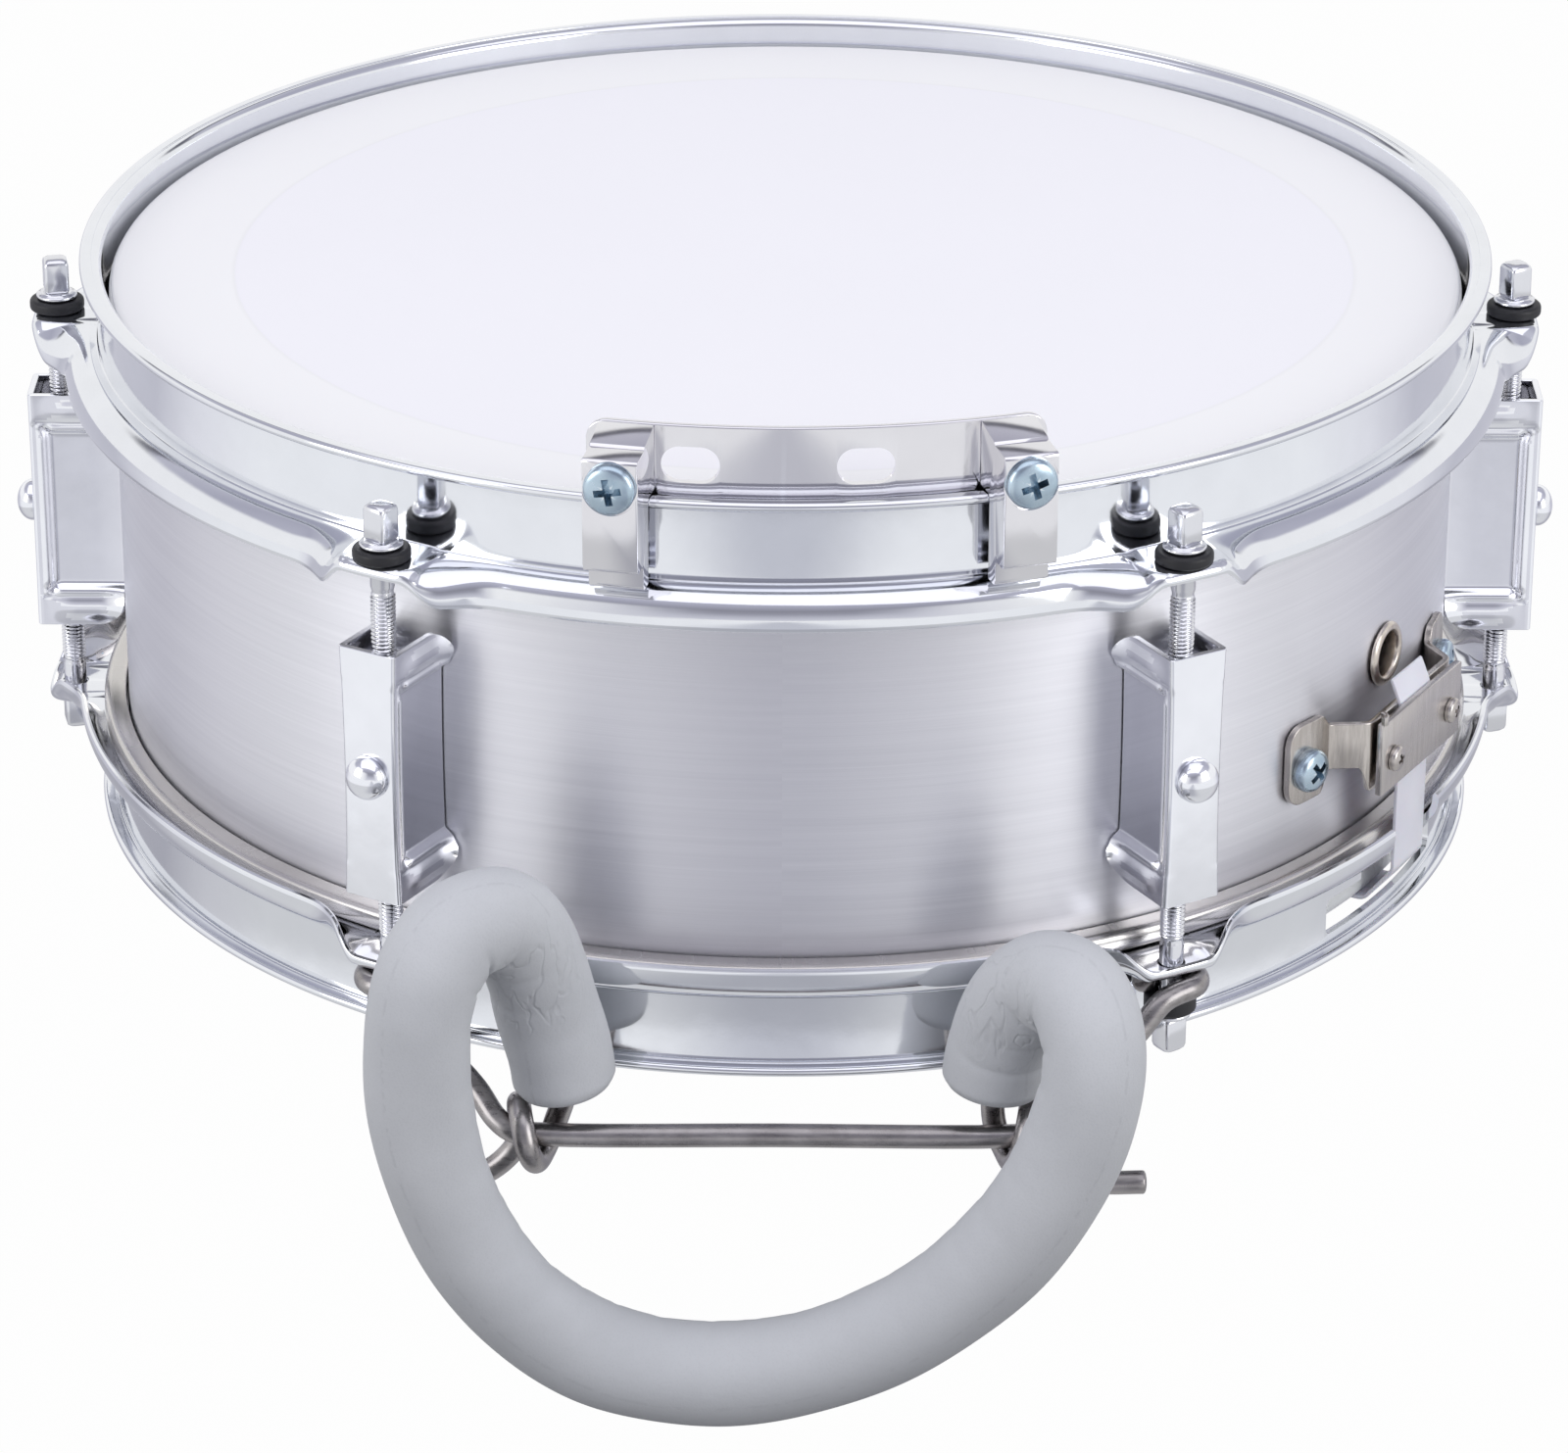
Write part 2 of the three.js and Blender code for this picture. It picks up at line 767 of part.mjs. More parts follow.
function panScrew(radius, headRadius, headHeight, seatAt, endAt, across, height) {
  return radial([
    ...panShares.map(([out, up]) => [headRadius * out, seatAt + headHeight * up]),
    [radius, seatAt],
    [radius, endAt],
    [0, endAt],
  ], across, height);
}

function slingScrew() {
  const end = hoopInnerRadius - runningGap * 2 - slingPlateMetal;
  const height = rimRise + slingScrewRise;
  const under = clampFront + seat;
  return panScrew(slingScrewRadius, slingScrewHeadRadius, slingScrewHeadHeight, under, end, 0, height);
}

// The butt bracket's outline seen from above, from its middle to one end.
function bracketSide(offset) {
  const arcRadius = shellRadius + gap + offset;
  const onArc = (across) => [Math.sqrt(arcRadius * arcRadius - across * across), across];
  const bridge = bracketFront - bracketMetal + offset;
  const lean = bracketFootInner - bridgeHalf;
  return [
    [bridge, bridgeHalf - (bracketMetal - offset) * bridgeEdgeShare],
    onArc(bridgeHalf + lean * bracketLeanShare + offset * bridgeEdgeShare),
    onArc(bracketFootInner + bracketMetal),
    onArc((bracketFootInner + bracketFootOuter) / 2),
    onArc(bracketFootOuter),
  ];
}

function buttBracket() {
  const far = bracketSide(bracketMetal);
  const near = bracketSide(0);
  const mirrored = (points) => points.map(([x, y]) => [x, -y]);
  const points = [...mirrored(far).reverse(), ...far, ...near.reverse(), ...mirrored(near).reverse()];
  const low = -buttDrop - bracketFootHeight / 2;
  const high = -buttDrop + bracketFootHeight / 2;
  const strap = plan(points, low, high);
  const reach = bracketFront + overrun;
  const start = shellRadius / 2;
  const footWidth = bracketFootOuter - bracketFootInner;
  const footMiddle = (bracketFootOuter + bracketFootInner) / 2;
  const legTop = -bracketArmTopDrop;
  const legs = box(start, reach, -footMiddle, footMiddle, legTop - bracketArmHeight, legTop);
  const bridge = box(start, reach, -bridgeHalf, bridgeHalf, legTop - bridgeHeight, legTop);
  const feet = [-1, 1].map((side) => {
    const foot = roundedRectangle(footWidth, bracketFootHeight, footCorner, 2, side * footMiddle, -buttDrop);
    return face(foot, start, reach);
  });
  const stencil = join(legs, bridge, ...feet);
  const turn = THREE.MathUtils.degToRad(mountScrewAngle());
  const screwHoles = [-1, 1].map((side) => (
    rodAlong(mountScrewRadius + seat, start, reach, 0, -buttDrop).rotateZ(side * turn)
  ));
  const clampHoles = [-1, 1].map((side) => (
    rodAlong(clampScrewRadius + seat, start, reach, side * clampScrewOffset, -clampScrewDrop)
  ));
  return cut(overlap(strap, stencil), ...screwHoles, ...clampHoles);
}

function buttClampPlate() {
  const near = stripFace + seat;
  const low = -clampPlateDrop - clampPlateHeight / 2;
  const far = near + clampPlateMetal;
  const plate = box(near, far, -clampPlateHalf, clampPlateHalf, low, low + clampPlateHeight);
  const holes = [-1, 1].map((side) => (
    rodAlong(
      clampScrewRadius + seat,
      near - overrun,
      far + overrun,
      side * clampScrewOffset,
      -clampScrewDrop,
    )
  ));
  return cut(plate, ...holes);
}

function buttClampScrew(side) {
  const under = stripFace + seat + clampPlateMetal + seat;
  const end = bracketFront - bracketMetal - seat;
  const across = side * clampScrewOffset;
  return panScrew(
    clampScrewRadius,
    clampScrewHeadRadius,
    clampScrewHeadHeight,
    under,
    end,
    across,
    -clampScrewDrop,
  );
}

function mountScrew(standing, height) {
  const under = standing + seat;
  const end = shellInner - mountScrewTail;
  return panScrew(mountScrewRadius, mountScrewHeadRadius, mountScrewHeadHeight, under, end, 0, height);
}

// The snare strip hangs outside the hoop's wall and turns in through the gate under the head.
function snareStrip(topDrop) {
  const under = snareSide - seat * 2;
  return profile([
    [stripBack, -topDrop],
    [stripFace, -topDrop],
    [stripFace, -stripBendDrop],
    [hoopInnerRadius - stripMetal, under - stripMetal],
    [stripInner, under - stripMetal],
    [stripInner, under],
    [hoopInnerRadius - stripMetal * 2, under],
    [stripBack, -stripBendDrop + stripMetal],
  ], stripWidth);
}

function snareWires() {
  const top = snareSide - seat * 2 - gap;
  const plates = [-1, 1].map((side) => {
    const centre = side * (stripInner - gap - endPlateLength / 2);
    const half = endPlateLength / 2;
    return box(centre - half, centre + half, -endPlateWidth / 2, endPlateWidth / 2, top - endPlateMetal, top);
  });
  const wires = [];
  for (let wire = 0; wire < wireCount; wire += 1) {
    const across = (wire - (wireCount - 1) / 2) * wirePitch;
    const low = top - wireSize / 2 - endPlateMetal / 2;
    wires.push(box(-wireHalf, wireHalf, across - wireSize / 2, across + wireSize / 2, low, low + wireSize));
  }
  return join(plates[0], plates[1], ...wires);
}

function ventEyelet() {
  const near = shellInner - ventTail;
  return radial([
    [ventHoleRadius, near],
    [ventTubeRadius, near],
    [ventTubeRadius, shellRadius + gap],
    [ventFlangeRadius, shellRadius + gap],
    [ventFlangeRadius - ventFlangeHeight / 2, shellRadius + gap + ventFlangeHeight],
    [ventHoleRadius, shellRadius + gap + ventFlangeHeight],
  ], 0, -ventDrop, ventSegments);
}

const strainerBack = shellRadius + gap;
const strainerFace = strainerBack + baseMetal;
const leverReach = strainerFace + leverPinReach;
const cheekFace = strainerFace + cheekDepth;
const slotHalf = baseHalf - cheekMetal;

// A pin or a hole across the strainer where its lever turns.
function leverAxis(radius, half) {
  return rodAlong(radius, -half, half, 0, 0).rotateZ(Math.PI / 2).translate(leverReach, 0, -leverPinDrop);
}

function strainerBase() {
  const low = -baseTopDrop - baseLength;
  const root = strainerFace - seat;
  const cheekLow = -baseTopDrop - cheekLength;
  const crossLow = -baseTopDrop - bridgeMetal;
  const back = box(strainerBack, strainerFace, -baseHalf, baseHalf, low, -baseTopDrop);
  const leftCheek = box(root, cheekFace, -baseHalf, -slotHalf, cheekLow, -baseTopDrop);
  const rightCheek = box(root, cheekFace, slotHalf, baseHalf, cheekLow, -baseTopDrop);
  const cross = box(root, strainerFace + knobReach * 2, -baseHalf, baseHalf, crossLow, -baseTopDrop);
  const screws = strainerScrewHeights().map((height) => (
    rodAlong(mountScrewRadius, shellInner - mountScrewTail, root, 0, height)
  ));
  const knobHole = post(
    knobStemRadius + runningGap,
    crossLow - overrun,
    -baseTopDrop + overrun,
    strainerFace + knobReach,
    0,
  );
  const pinHole = leverAxis(leverPinRadius + runningGap, baseHalf + overrun);
  return cut(join(back, leftCheek, rightCheek, cross, ...screws), pinHole, knobHole);
}

function strainerLever() {
  const handleNear = cheekFace + runningGap;
  const handleFar = handleNear + leverMetal;
  const top = -leverPinDrop + leverMetal / 2;
  const arm = box(leverReach, handleFar, -leverWidth / 2, leverWidth / 2, top - leverMetal, top);
  const shape = roundedRectangle(handleWidth, leverLength, leverWidth / 2, 3, 0, top - leverLength / 2);
  return join(
    leverAxis(leverPinRadius, baseHalf),
    leverAxis(leverHubRadius, slotHalf - runningGap),
    arm,
    face(shape, handleNear, handleFar),
  );
}

function strainerSlide() {
  const near = strainerFace + runningGap;
  const far = near + slideDepth;
  const half = slotHalf - runningGap;
  const low = -slideTopDrop - slideHeight;
  const stripHalf = stripWidth / 2 + gap;
  const block = box(near, far, -half, half, low, -slideTopDrop);
  const slot = box(
    stripBack - gap,
    stripFace + gap,
    -stripHalf,
    stripHalf,
    low - overrun,
    -slideTopDrop + overrun,
  );
  const screws = [-1, 1].map((side) => panScrew(
    clampScrewRadius,
    clampScrewHeadRadius,
    clampScrewHeadHeight,
    far - seat,
    far - seat * 2,
    side * jawScrewOffset,
    -jawScrewDrop,
  ));
  return join(cut(block, slot), ...screws);
}

function strainerKnob() {
  const low = -baseTopDrop + runningGap;
  return turned([
    [0, low + knobHeight],
    [knobRadius * knobCornerShare, low + knobHeight],
    [knobRadius, low + knobHeight * knobCornerShare],
    [knobRadius, low],
    [knobStemRadius, low],
    [knobStemRadius, low - knobStemLength],
    [0, low - knobStemLength],
  ], smallSegments).translate(strainerFace + knobReach, 0, 0);
}

// Part of a curve, walked by its own places, so that tight bends get more steps.
class Stretch extends THREE.Curve {
  constructor(whole, from, to) {
    super();
    this.whole = whole;
    this.from = from;
    this.to = to;
  }

  getPoint(share, target) {
    return this.whole.getPoint(THREE.MathUtils.lerp(this.from, this.to, share), target);
  }

  getPointAt(share, target) {
    return this.getPoint(share, target);
  }

  getTangentAt(share, target) {
    return this.getTangent(share, target);
  }
}

function polygon(radius, sides) {
  const corners = [];
  for (let side = 0; side < sides; side += 1) {
    const angle = 2 * Math.PI * side / sides;
    corners.push(new THREE.Vector2(radius * Math.cos(angle), radius * Math.sin(angle)));
  }
  return corners;
}

// A tube along the places first to last of a list.
function tube(places, first, last, radius, sides, bore = 0) {
  const whole = new THREE.CatmullRomCurve3(places, false, 'centripetal');
  const path = new Stretch(whole, first / (places.length - 1), last / (places.length - 1));
  const section = new THREE.Shape(polygon(radius, sides));
  if (bore > 0) section.holes.push(new THREE.Path(polygon(bore, boreSides).reverse()));
  const steps = (last - first) * stepsBetweenPlaces;
  return outward(new THREE.ExtrudeGeometry(section, { steps, extrudePath: path, bevelEnabled: false }));
}

// One side of the frame: an eyelet round the front bottom rod, then an arm to the cross bar.
function frameSide(side) {
  const height = snareSide + hoopBaseDrop - seat - restRodRadius;
  const lean = THREE.MathUtils.degToRad(firstLugAngle);
  const centreX = rodCircle * Math.sin(lean);
  const centreY = -rodCircle * Math.cos(lean);
  const places = [];
  for (let step = eyeletSteps; step >= 0; step -= 1) {
    const angle = THREE.MathUtils.degToRad(eyeletStartAngle + eyeletTurnAngle * step / eyeletSteps);
    const across = centreX + eyeletRadius * Math.cos(angle);
    places.push(new THREE.Vector3(side * across, centreY + eyeletRadius * Math.sin(angle), height));
  }
  const start = places[places.length - 1];
  const end = new THREE.Vector3(barShift + side * barHalf, -barReach, -barDrop);
  for (const [across, forward, down] of armPlaceShares) {
    places.push(new THREE.Vector3(
      THREE.MathUtils.lerp(start.x, end.x, across),
      THREE.MathUtils.lerp(start.y, end.y, forward),
      THREE.MathUtils.lerp(start.z, end.z, down),
    ));
  }
  return places;
}

function legRestFrame() {
  const barMiddle = new THREE.Vector3(barShift, -barReach, -barDrop);
  const places = [...frameSide(-1), barMiddle, ...frameSide(1).reverse()];
  return tube(places, 0, places.length - 1, restRodRadius, rodSides);
}

// One end of the bow: down behind the bar, once round it, then out to the side as a stop.
function bowEye(side) {
  const places = [];
  for (let step = 0; step < eyeAcrossShares.length; step += 1) {
    const share = step / (eyeAcrossShares.length - 1);
    const radius = THREE.MathUtils.lerp(eyeFirstRadius, eyeLastRadius, eyeGrowthShares[step]);
    const angle = -2 * Math.PI * share;
    const across = barShift + side * (bowStemOffset + eyeAdvance * eyeAcrossShares[step]);
    const reach = -barReach + radius * Math.cos(angle);
    places.push(new THREE.Vector3(across, reach, -barDrop + radius * Math.sin(angle)));
  }
  const start = places[places.length - 1];
  for (const [outwards, down] of tailPlaceShares) {
    const across = start.x + side * tailLength * outwards;
    places.push(new THREE.Vector3(across, start.y, start.z - tailDrop * down));
  }
  return places;
}

function bowMiddle() {
  return bowPlaceShares.map(([across, forward, up]) => {
    const rise = up > 0 ? bowRise : bowFall;
    return new THREE.Vector3(across * bowHalf, -barReach - forward * bowReach, -barDrop + up * rise);
  });
}

function bowPlaces() {
  return [...bowEye(-1).reverse(), ...bowMiddle(), ...bowEye(1)];
}

function legRestBow() {
  const places = bowPlaces();
  return tube(places, 0, places.length - 1, restRodRadius, rodSides);
}

function legRestFoam() {
  const first = bowEye(-1).length;
  return tube(bowPlaces(), first, first + bowMiddle().length - 1, foamRadius, foamSides, foamBore);
}

addPiece('shell', shell(), aluminium);
addPiece('batter_head', head(), coatedFilm);
addPiece('batter_flesh_hoop', fleshHoop(), satinAluminium);
addPiece('snare_head', turnedOver(head()), clearFilm);
addPiece('snare_flesh_hoop', turnedOver(fleshHoop()), satinAluminium);
addPiece('top_hoop', hoop(), chrome);
addPiece('bottom_hoop', bottomHoop(), chrome);
addPiece('vent_eyelet', atAngle(ventEyelet(), buttAngle), nickel);

for (let place = 0; place < lugCount; place += 1) {
  const angle = firstLugAngle + place * sectorAngle;
  const number = place + 1;
  const atFront = place === 0 || place === lugCount - 1;
  const underStanding = atFront ? 2 * restRodRadius + eyeletRubberHeight + 2 * seat : 0;
  addPiece(`lug_${number}`, atAngle(lug(), angle), chrome);
  addPiece(`lug_bolt_${number}`, atAngle(lugBolt(), angle), chrome);
  addPiece(`top_rod_${number}`, atAngle(tensionRod(rubberHeight), angle), chrome);
  addPiece(`bottom_rod_${number}`, turnedOver(atAngle(tensionRod(underStanding), angle)), chrome);
  addPiece(`rubber_washer_${number}`, atAngle(rubberWasher(), angle), rubber);
}

addPiece('sling_plate', atAngle(slingPlate(), slingAngle), chrome);
const clampSides = [['left', -1], ['right', 1]];
for (const [word, side] of clampSides) {
  const angle = slingAngle + side * slingHalfAngle * clampSpanShare;
  addPiece(`sling_clamp_${word}`, atAngle(clampBlock(), angle), chrome);
  addPiece(`sling_screw_${word}`, atAngle(slingScrew(), angle), zinc);
}

addPiece('butt_bracket', atAngle(buttBracket(), buttAngle), nickel);
addPiece('butt_clamp_plate', atAngle(buttClampPlate(), buttAngle), nickel);
for (const [word, side] of clampSides) {
  const turn = side * mountScrewAngle();
  const standing = shellRadius + gap + bracketMetal;
  addPiece(`butt_clamp_screw_${word}`, atAngle(buttClampScrew(side), buttAngle), nickel);
  addPiece(`butt_mount_screw_${word}`, atAngle(mountScrew(standing, -buttDrop), buttAngle + turn), zinc);
}
addPiece('butt_strip', atAngle(snareStrip(stripTabDrop), buttAngle), plastic);
addPiece('snare_wires', atAngle(snareWires(), buttAngle), steelWire);

addPiece('strainer_base', atAngle(strainerBase(), strainerAngle), nickel);
addPiece('strainer_lever', atAngle(strainerLever(), strainerAngle), chrome);
addPiece('strainer_slide', atAngle(strainerSlide(), strainerAngle), nickel);
addPiece('strainer_knob', atAngle(strainerKnob(), strainerAngle), chrome);
addPiece('strainer_strip', atAngle(snareStrip(slideTopDrop + gap), strainerAngle), plastic);

addPiece('leg_rest_frame', legRestFrame(), stainless);
addPiece('leg_rest_bow', legRestBow(), stainless);
addPiece('leg_rest_foam', legRestFoam(), foamGrey);

export default drum;
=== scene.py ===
"""Looks of a marching snare drum with a carrying plate and a folding leg rest.

Lengths are written in millimetres and turned into metres by MM. The origin is the middle of the
batter head's top face, +Z is up and the front is -Y. Angles round the drum run from the front to
the right. A radial place is (distance from the axis, distance across, height) at such an angle.
"""

import math

import bmesh
import bpy
import numpy as np
from mathutils import Matrix, Vector


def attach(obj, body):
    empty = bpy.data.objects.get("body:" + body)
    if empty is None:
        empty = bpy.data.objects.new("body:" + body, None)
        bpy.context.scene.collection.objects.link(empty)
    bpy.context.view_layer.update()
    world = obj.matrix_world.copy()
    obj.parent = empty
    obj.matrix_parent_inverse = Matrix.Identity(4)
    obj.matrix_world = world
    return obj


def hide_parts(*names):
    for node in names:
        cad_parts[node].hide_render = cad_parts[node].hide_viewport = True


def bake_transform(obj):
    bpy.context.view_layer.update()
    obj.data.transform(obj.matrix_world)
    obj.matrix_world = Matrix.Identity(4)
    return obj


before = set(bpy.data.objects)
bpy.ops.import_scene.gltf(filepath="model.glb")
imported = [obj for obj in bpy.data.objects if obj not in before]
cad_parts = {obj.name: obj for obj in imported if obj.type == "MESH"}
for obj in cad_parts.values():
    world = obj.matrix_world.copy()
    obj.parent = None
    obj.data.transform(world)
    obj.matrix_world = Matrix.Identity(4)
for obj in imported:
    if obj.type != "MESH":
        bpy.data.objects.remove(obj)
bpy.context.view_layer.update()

MM = 0.001

# Sizes that the pieces share, as in the solids
DEPTH = 139.7
SHELL_R = 177.8
SHELL_INNER = 175.8
HOOP_R = 180.0
RIM_R = 185.8
SKIRT_R = 191.0
FRONT_SKIRT_R = 188.7
EAR_R = 199.8
ROD_R = 193.5
RIM_RISE = 7.0
BASE_DROP = 14.7
LUG_FRONT = 201.8
LUG_TOP = -36.5
LUG_LOW = -103.2
MIDDLE = -DEPTH / 2
BUTT = 60.0
STRAINER = -120.0
SLING = 2.7
CLAMPS = (SLING - 14.65, SLING + 14.65)
CLAMP_HOLE = 13.9
LUGS = [30.0 + 60.0 * i for i in range(6)]
VENT_HEIGHT = -74.0
MOUNT_SPREAD = math.degrees(math.asin(38.8 / SHELL_R))
PIN_SPREAD, PIN_HEIGHT = 17.0, -94.0
RIVET_HEIGHTS = (-61.5, -102.5)
WHITE = (1.0, 1.0, 1.0)


# Node materials
class Nodes:
    """A node tree with short calls to add and join nodes."""

    def __init__(self, tree):
        self.tree = tree
        self.tree.nodes.clear()

    def add(self, kind, props=None, **inputs):
        node = self.tree.nodes.new(kind)
        for key, value in (props or {}).items():
            setattr(node, key, value)
        for key, value in inputs.items():
            self.put(node.inputs[key.replace("_", " ")], value)
        return node

    def put(self, socket, value):
        if isinstance(value, bpy.types.NodeSocket):
            self.tree.links.new(value, socket)
        elif isinstance(value, (tuple, list)) and len(value) == 3 and socket.type == "RGBA":
            socket.default_value = (*value, 1)
        else:
            socket.default_value = value

    def coords(self, scale=None):
        place = self.add("ShaderNodeTexCoord").outputs["Object"]
        return self.add("ShaderNodeMapping", Scale=scale, Vector=place).outputs["Vector"] if scale else place

    def xyz(self, vector):
        parts = self.add("ShaderNodeSeparateXYZ", Vector=vector)
        return [parts.outputs[axis] for axis in "XYZ"]

    def round_coords(self, along, up):
        """Coordinates that run round the drum, arc length and height, each with its stretch."""
        x, y, z = self.xyz(self.coords())
        arc = self.math("MULTIPLY", self.math("ARCTAN2", x, y), SHELL_R * MM * along)
        return self.add("ShaderNodeCombineXYZ", X=arc, Z=self.math("MULTIPLY", z, up)).outputs["Vector"]

    def noise(self, vector, scale, detail=4.0, rough=0.55, distort=0.0):
        return self.add("ShaderNodeTexNoise", Scale=scale, Detail=detail, Roughness=rough, Distortion=distort,
                        Vector=vector).outputs["Fac"]

    def cells(self, vector, scale):
        return self.add("ShaderNodeTexVoronoi", Scale=scale, Vector=vector).outputs["Distance"]

    def math(self, operation, a, b=0.5):
        node = self.add("ShaderNodeMath", {"operation": operation})
        self.put(node.inputs[0], a)
        self.put(node.inputs[1], b)
        return node.outputs[0]

    def length(self, x, y):
        """How long a flat vector is."""
        squares = self.math("ADD", self.math("MULTIPLY", x, x), self.math("MULTIPLY", y, y))
        return self.math("SQRT", squares)

    def remap(self, value, low, high, to_low, to_high, smooth=False):
        node = self.add("ShaderNodeMapRange", {"interpolation_type": "SMOOTHSTEP" if smooth else "LINEAR"})
        for key, part in zip(("Value", "From Min", "From Max", "To Min", "To Max"),
                             (value, low, high, to_low, to_high)):
            self.put(node.inputs[key], part)
        return node.outputs["Result"]

    def ramp(self, value, stops):
        node = self.add("ShaderNodeValToRGB", Fac=value)
        bands = node.color_ramp
        for index, end in ((0, stops[0]), (1, stops[-1])):
            bands.elements[index].position, bands.elements[index].color = end[0], (*end[1], 1)
        for at, colour in stops[1:-1]:
            bands.elements.new(at).color = (*colour, 1)
        return node.outputs["Color"]

    def mix(self, factor, a, b):
        node = self.add("ShaderNodeMix", {"data_type": "RGBA"})
        for index, value in ((0, factor), (6, a), (7, b)):
            self.put(node.inputs[index], value)
        return node.outputs[2]

    def covered(self, colour, *covers):
        """A colour under others, each where its mask is high: mask, low, high, most cover, colour."""
        for mask, low, high, most, over in covers:
            colour = self.mix(self.remap(mask, low, high, 0.0, most), colour, over)
        return colour

    def worn(self, colour, amount, bright):
        """Worn edges, from how sharply the surface turns."""
        edges = self.remap(self.add("ShaderNodeNewGeometry").outputs["Pointiness"], 0.52, 0.62, 0.0, 1.0)
        return self.mix(self.math("MULTIPLY", edges, amount), colour, bright)

    def bump(self, height, strength, distance, normal=None):
        node = self.add("ShaderNodeBump", Strength=strength, Distance=distance, Height=height)
        if normal is not None:
            self.put(node.inputs["Normal"], normal)
        return node.outputs["Normal"]

    def finish(self, colour, rough, normal, metal=0.0, **more):
        shader = self.add("ShaderNodeBsdfPrincipled", Base_Color=colour, Roughness=rough, Normal=normal,
                          Metallic=metal, **more)
        self.add("ShaderNodeOutputMaterial", Surface=shader.outputs[0])


def material(build, name, *values):
    made = bpy.data.materials.new(name)
    made.use_nodes = True
    build(Nodes(made.node_tree), *values)
    return made


def chrome(n, tint=(0.81, 0.825, 0.86), rough=0.06, grain=900.0, wave=0.25):
    place = n.coords()
    fine = n.noise(place, grain, 3.0)
    smudge = n.noise(place, 70.0, 5.0, 0.6)
    colour = n.covered(tint, (smudge, 0.35, 0.7, 0.35, tuple(c * 0.9 for c in tint)))
    dull = n.math("ADD", n.remap(smudge, 0.3, 0.75, rough * 0.8, rough * 1.5), n.math("MULTIPLY", fine, 0.02))
    waves = n.bump(n.noise(place, 26.0, 3.0), wave, 0.0006)
    n.finish(n.worn(colour, 0.4, (0.93, 0.94, 0.96)), dull, n.bump(fine, 0.03, 0.0001, waves), 1.0)


def brushed_shell(n):
    grain = n.noise(n.round_coords(2.0, 900.0), 9.0, 6.0, 0.7)
    long = n.noise(n.round_coords(1.2, 130.0), 4.0, 4.0, 0.6)
    cloud = n.noise(n.round_coords(1.0, 1.0), 7.0, 3.0, 0.5)
    lines = n.math("ADD", n.math("MULTIPLY", grain, 0.55), n.math("MULTIPLY", long, 0.45))
    colour = n.covered((0.70, 0.70, 0.745), (lines, 0.32, 0.68, 1.0, (0.85, 0.85, 0.89)),
                       (cloud, 0.35, 0.7, 0.3, (0.73, 0.72, 0.77)))
    lie = n.add("ShaderNodeTangent", {"direction_type": "RADIAL", "axis": "Z"}).outputs["Tangent"]
    n.finish(colour, n.remap(lines, 0.3, 0.7, 0.36, 0.48), n.bump(lines, 0.06, 0.0002), 1.0,
             Anisotropic=0.8, Anisotropic_Rotation=0.25, Tangent=lie)


def satin_ring(n):
    grain = n.noise(n.round_coords(3.0, 500.0), 9.0, 5.0, 0.65)
    cloud = n.noise(n.coords(), 16.0, 3.0)
    colour = n.covered((0.60, 0.575, 0.55), (grain, 0.3, 0.7, 1.0, (0.74, 0.72, 0.70)),
                       (cloud, 0.4, 0.7, 0.25, (0.52, 0.50, 0.49)))
    n.finish(colour, n.remap(grain, 0.3, 0.7, 0.2, 0.34), n.bump(grain, 0.05, 0.0002), 1.0)


def coated_head(n):
    """White film with a fainter disc underneath, a thin ring at the disc's edge and painted shade on the
    collar.
    """
    place = n.coords()
    x, y, z = n.xyz(place)
    reach = n.length(n.math("SUBTRACT", x, 2.3 * MM), y)
    disc = n.remap(reach, 147.3 * MM, 147.9 * MM, 1.0, 0.0, True)
    ring = n.math("MULTIPLY", n.remap(reach, 147.0 * MM, 147.8 * MM, 0.0, 1.0, True),
                  n.remap(reach, 147.8 * MM, 148.8 * MM, 1.0, 0.0, True))
    speck = n.noise(place, 2600.0, 2.0)
    cloud = n.noise(place, 9.0, 4.0, 0.55)
    colour = n.mix(disc, (0.935, 0.935, 0.925), (0.925, 0.92, 0.94))
    colour = n.mix(n.math("MULTIPLY", ring, 0.25), colour, (0.78, 0.78, 0.78))
    colour = n.covered(colour, (speck, 0.35, 0.75, 0.10, (0.80, 0.80, 0.80)),
                       (cloud, 0.35, 0.75, 0.12, (0.84, 0.84, 0.85)))
    # painted shade: the film darker where it turns down into the collar
    colour = n.mix(n.remap(z, -3.5 * MM, -1.5 * MM, 0.22, 0.0, True), colour, (0.62, 0.62, 0.63))
    n.finish(colour, n.remap(speck, 0.3, 0.7, 0.5, 0.68), n.bump(speck, 0.10, 0.0002))


def clear_head(n):
    place = n.coords()
    haze = n.noise(place, 14.0, 4.0, 0.6)
    colour = n.covered((0.70, 0.72, 0.72), (haze, 0.35, 0.7, 1.0, (0.80, 0.82, 0.82)))
    n.finish(colour, n.remap(haze, 0.3, 0.7, 0.18, 0.3), n.bump(n.noise(place, 1500.0, 2.0), 0.03, 0.0001),
             IOR=1.5)


def black_rubber(n):
    place = n.coords()
    dust = n.noise(place, 120.0, 5.0, 0.65)
    colour = n.covered((0.008, 0.008, 0.011), (dust, 0.45, 0.75, 0.6, (0.035, 0.035, 0.042)))
    n.finish(colour, n.remap(dust, 0.3, 0.7, 0.42, 0.62), n.bump(n.noise(place, 1400.0, 3.0), 0.15, 0.0001))


def zinc(n):
    place = n.coords()
    cloud = n.noise(place, 110.0, 4.0, 0.6)
    colour = n.covered((0.31, 0.42, 0.52), (cloud, 0.3, 0.7, 1.0, (0.53, 0.65, 0.75)),
                       (n.cells(place, 420.0), 0.0, 0.6, 0.2, (0.58, 0.66, 0.70)))
    n.finish(n.worn(colour, 0.5, (0.88, 0.93, 0.95)), n.remap(cloud, 0.3, 0.7, 0.17, 0.32),
             n.bump(cloud, 0.05, 0.0002), 1.0)


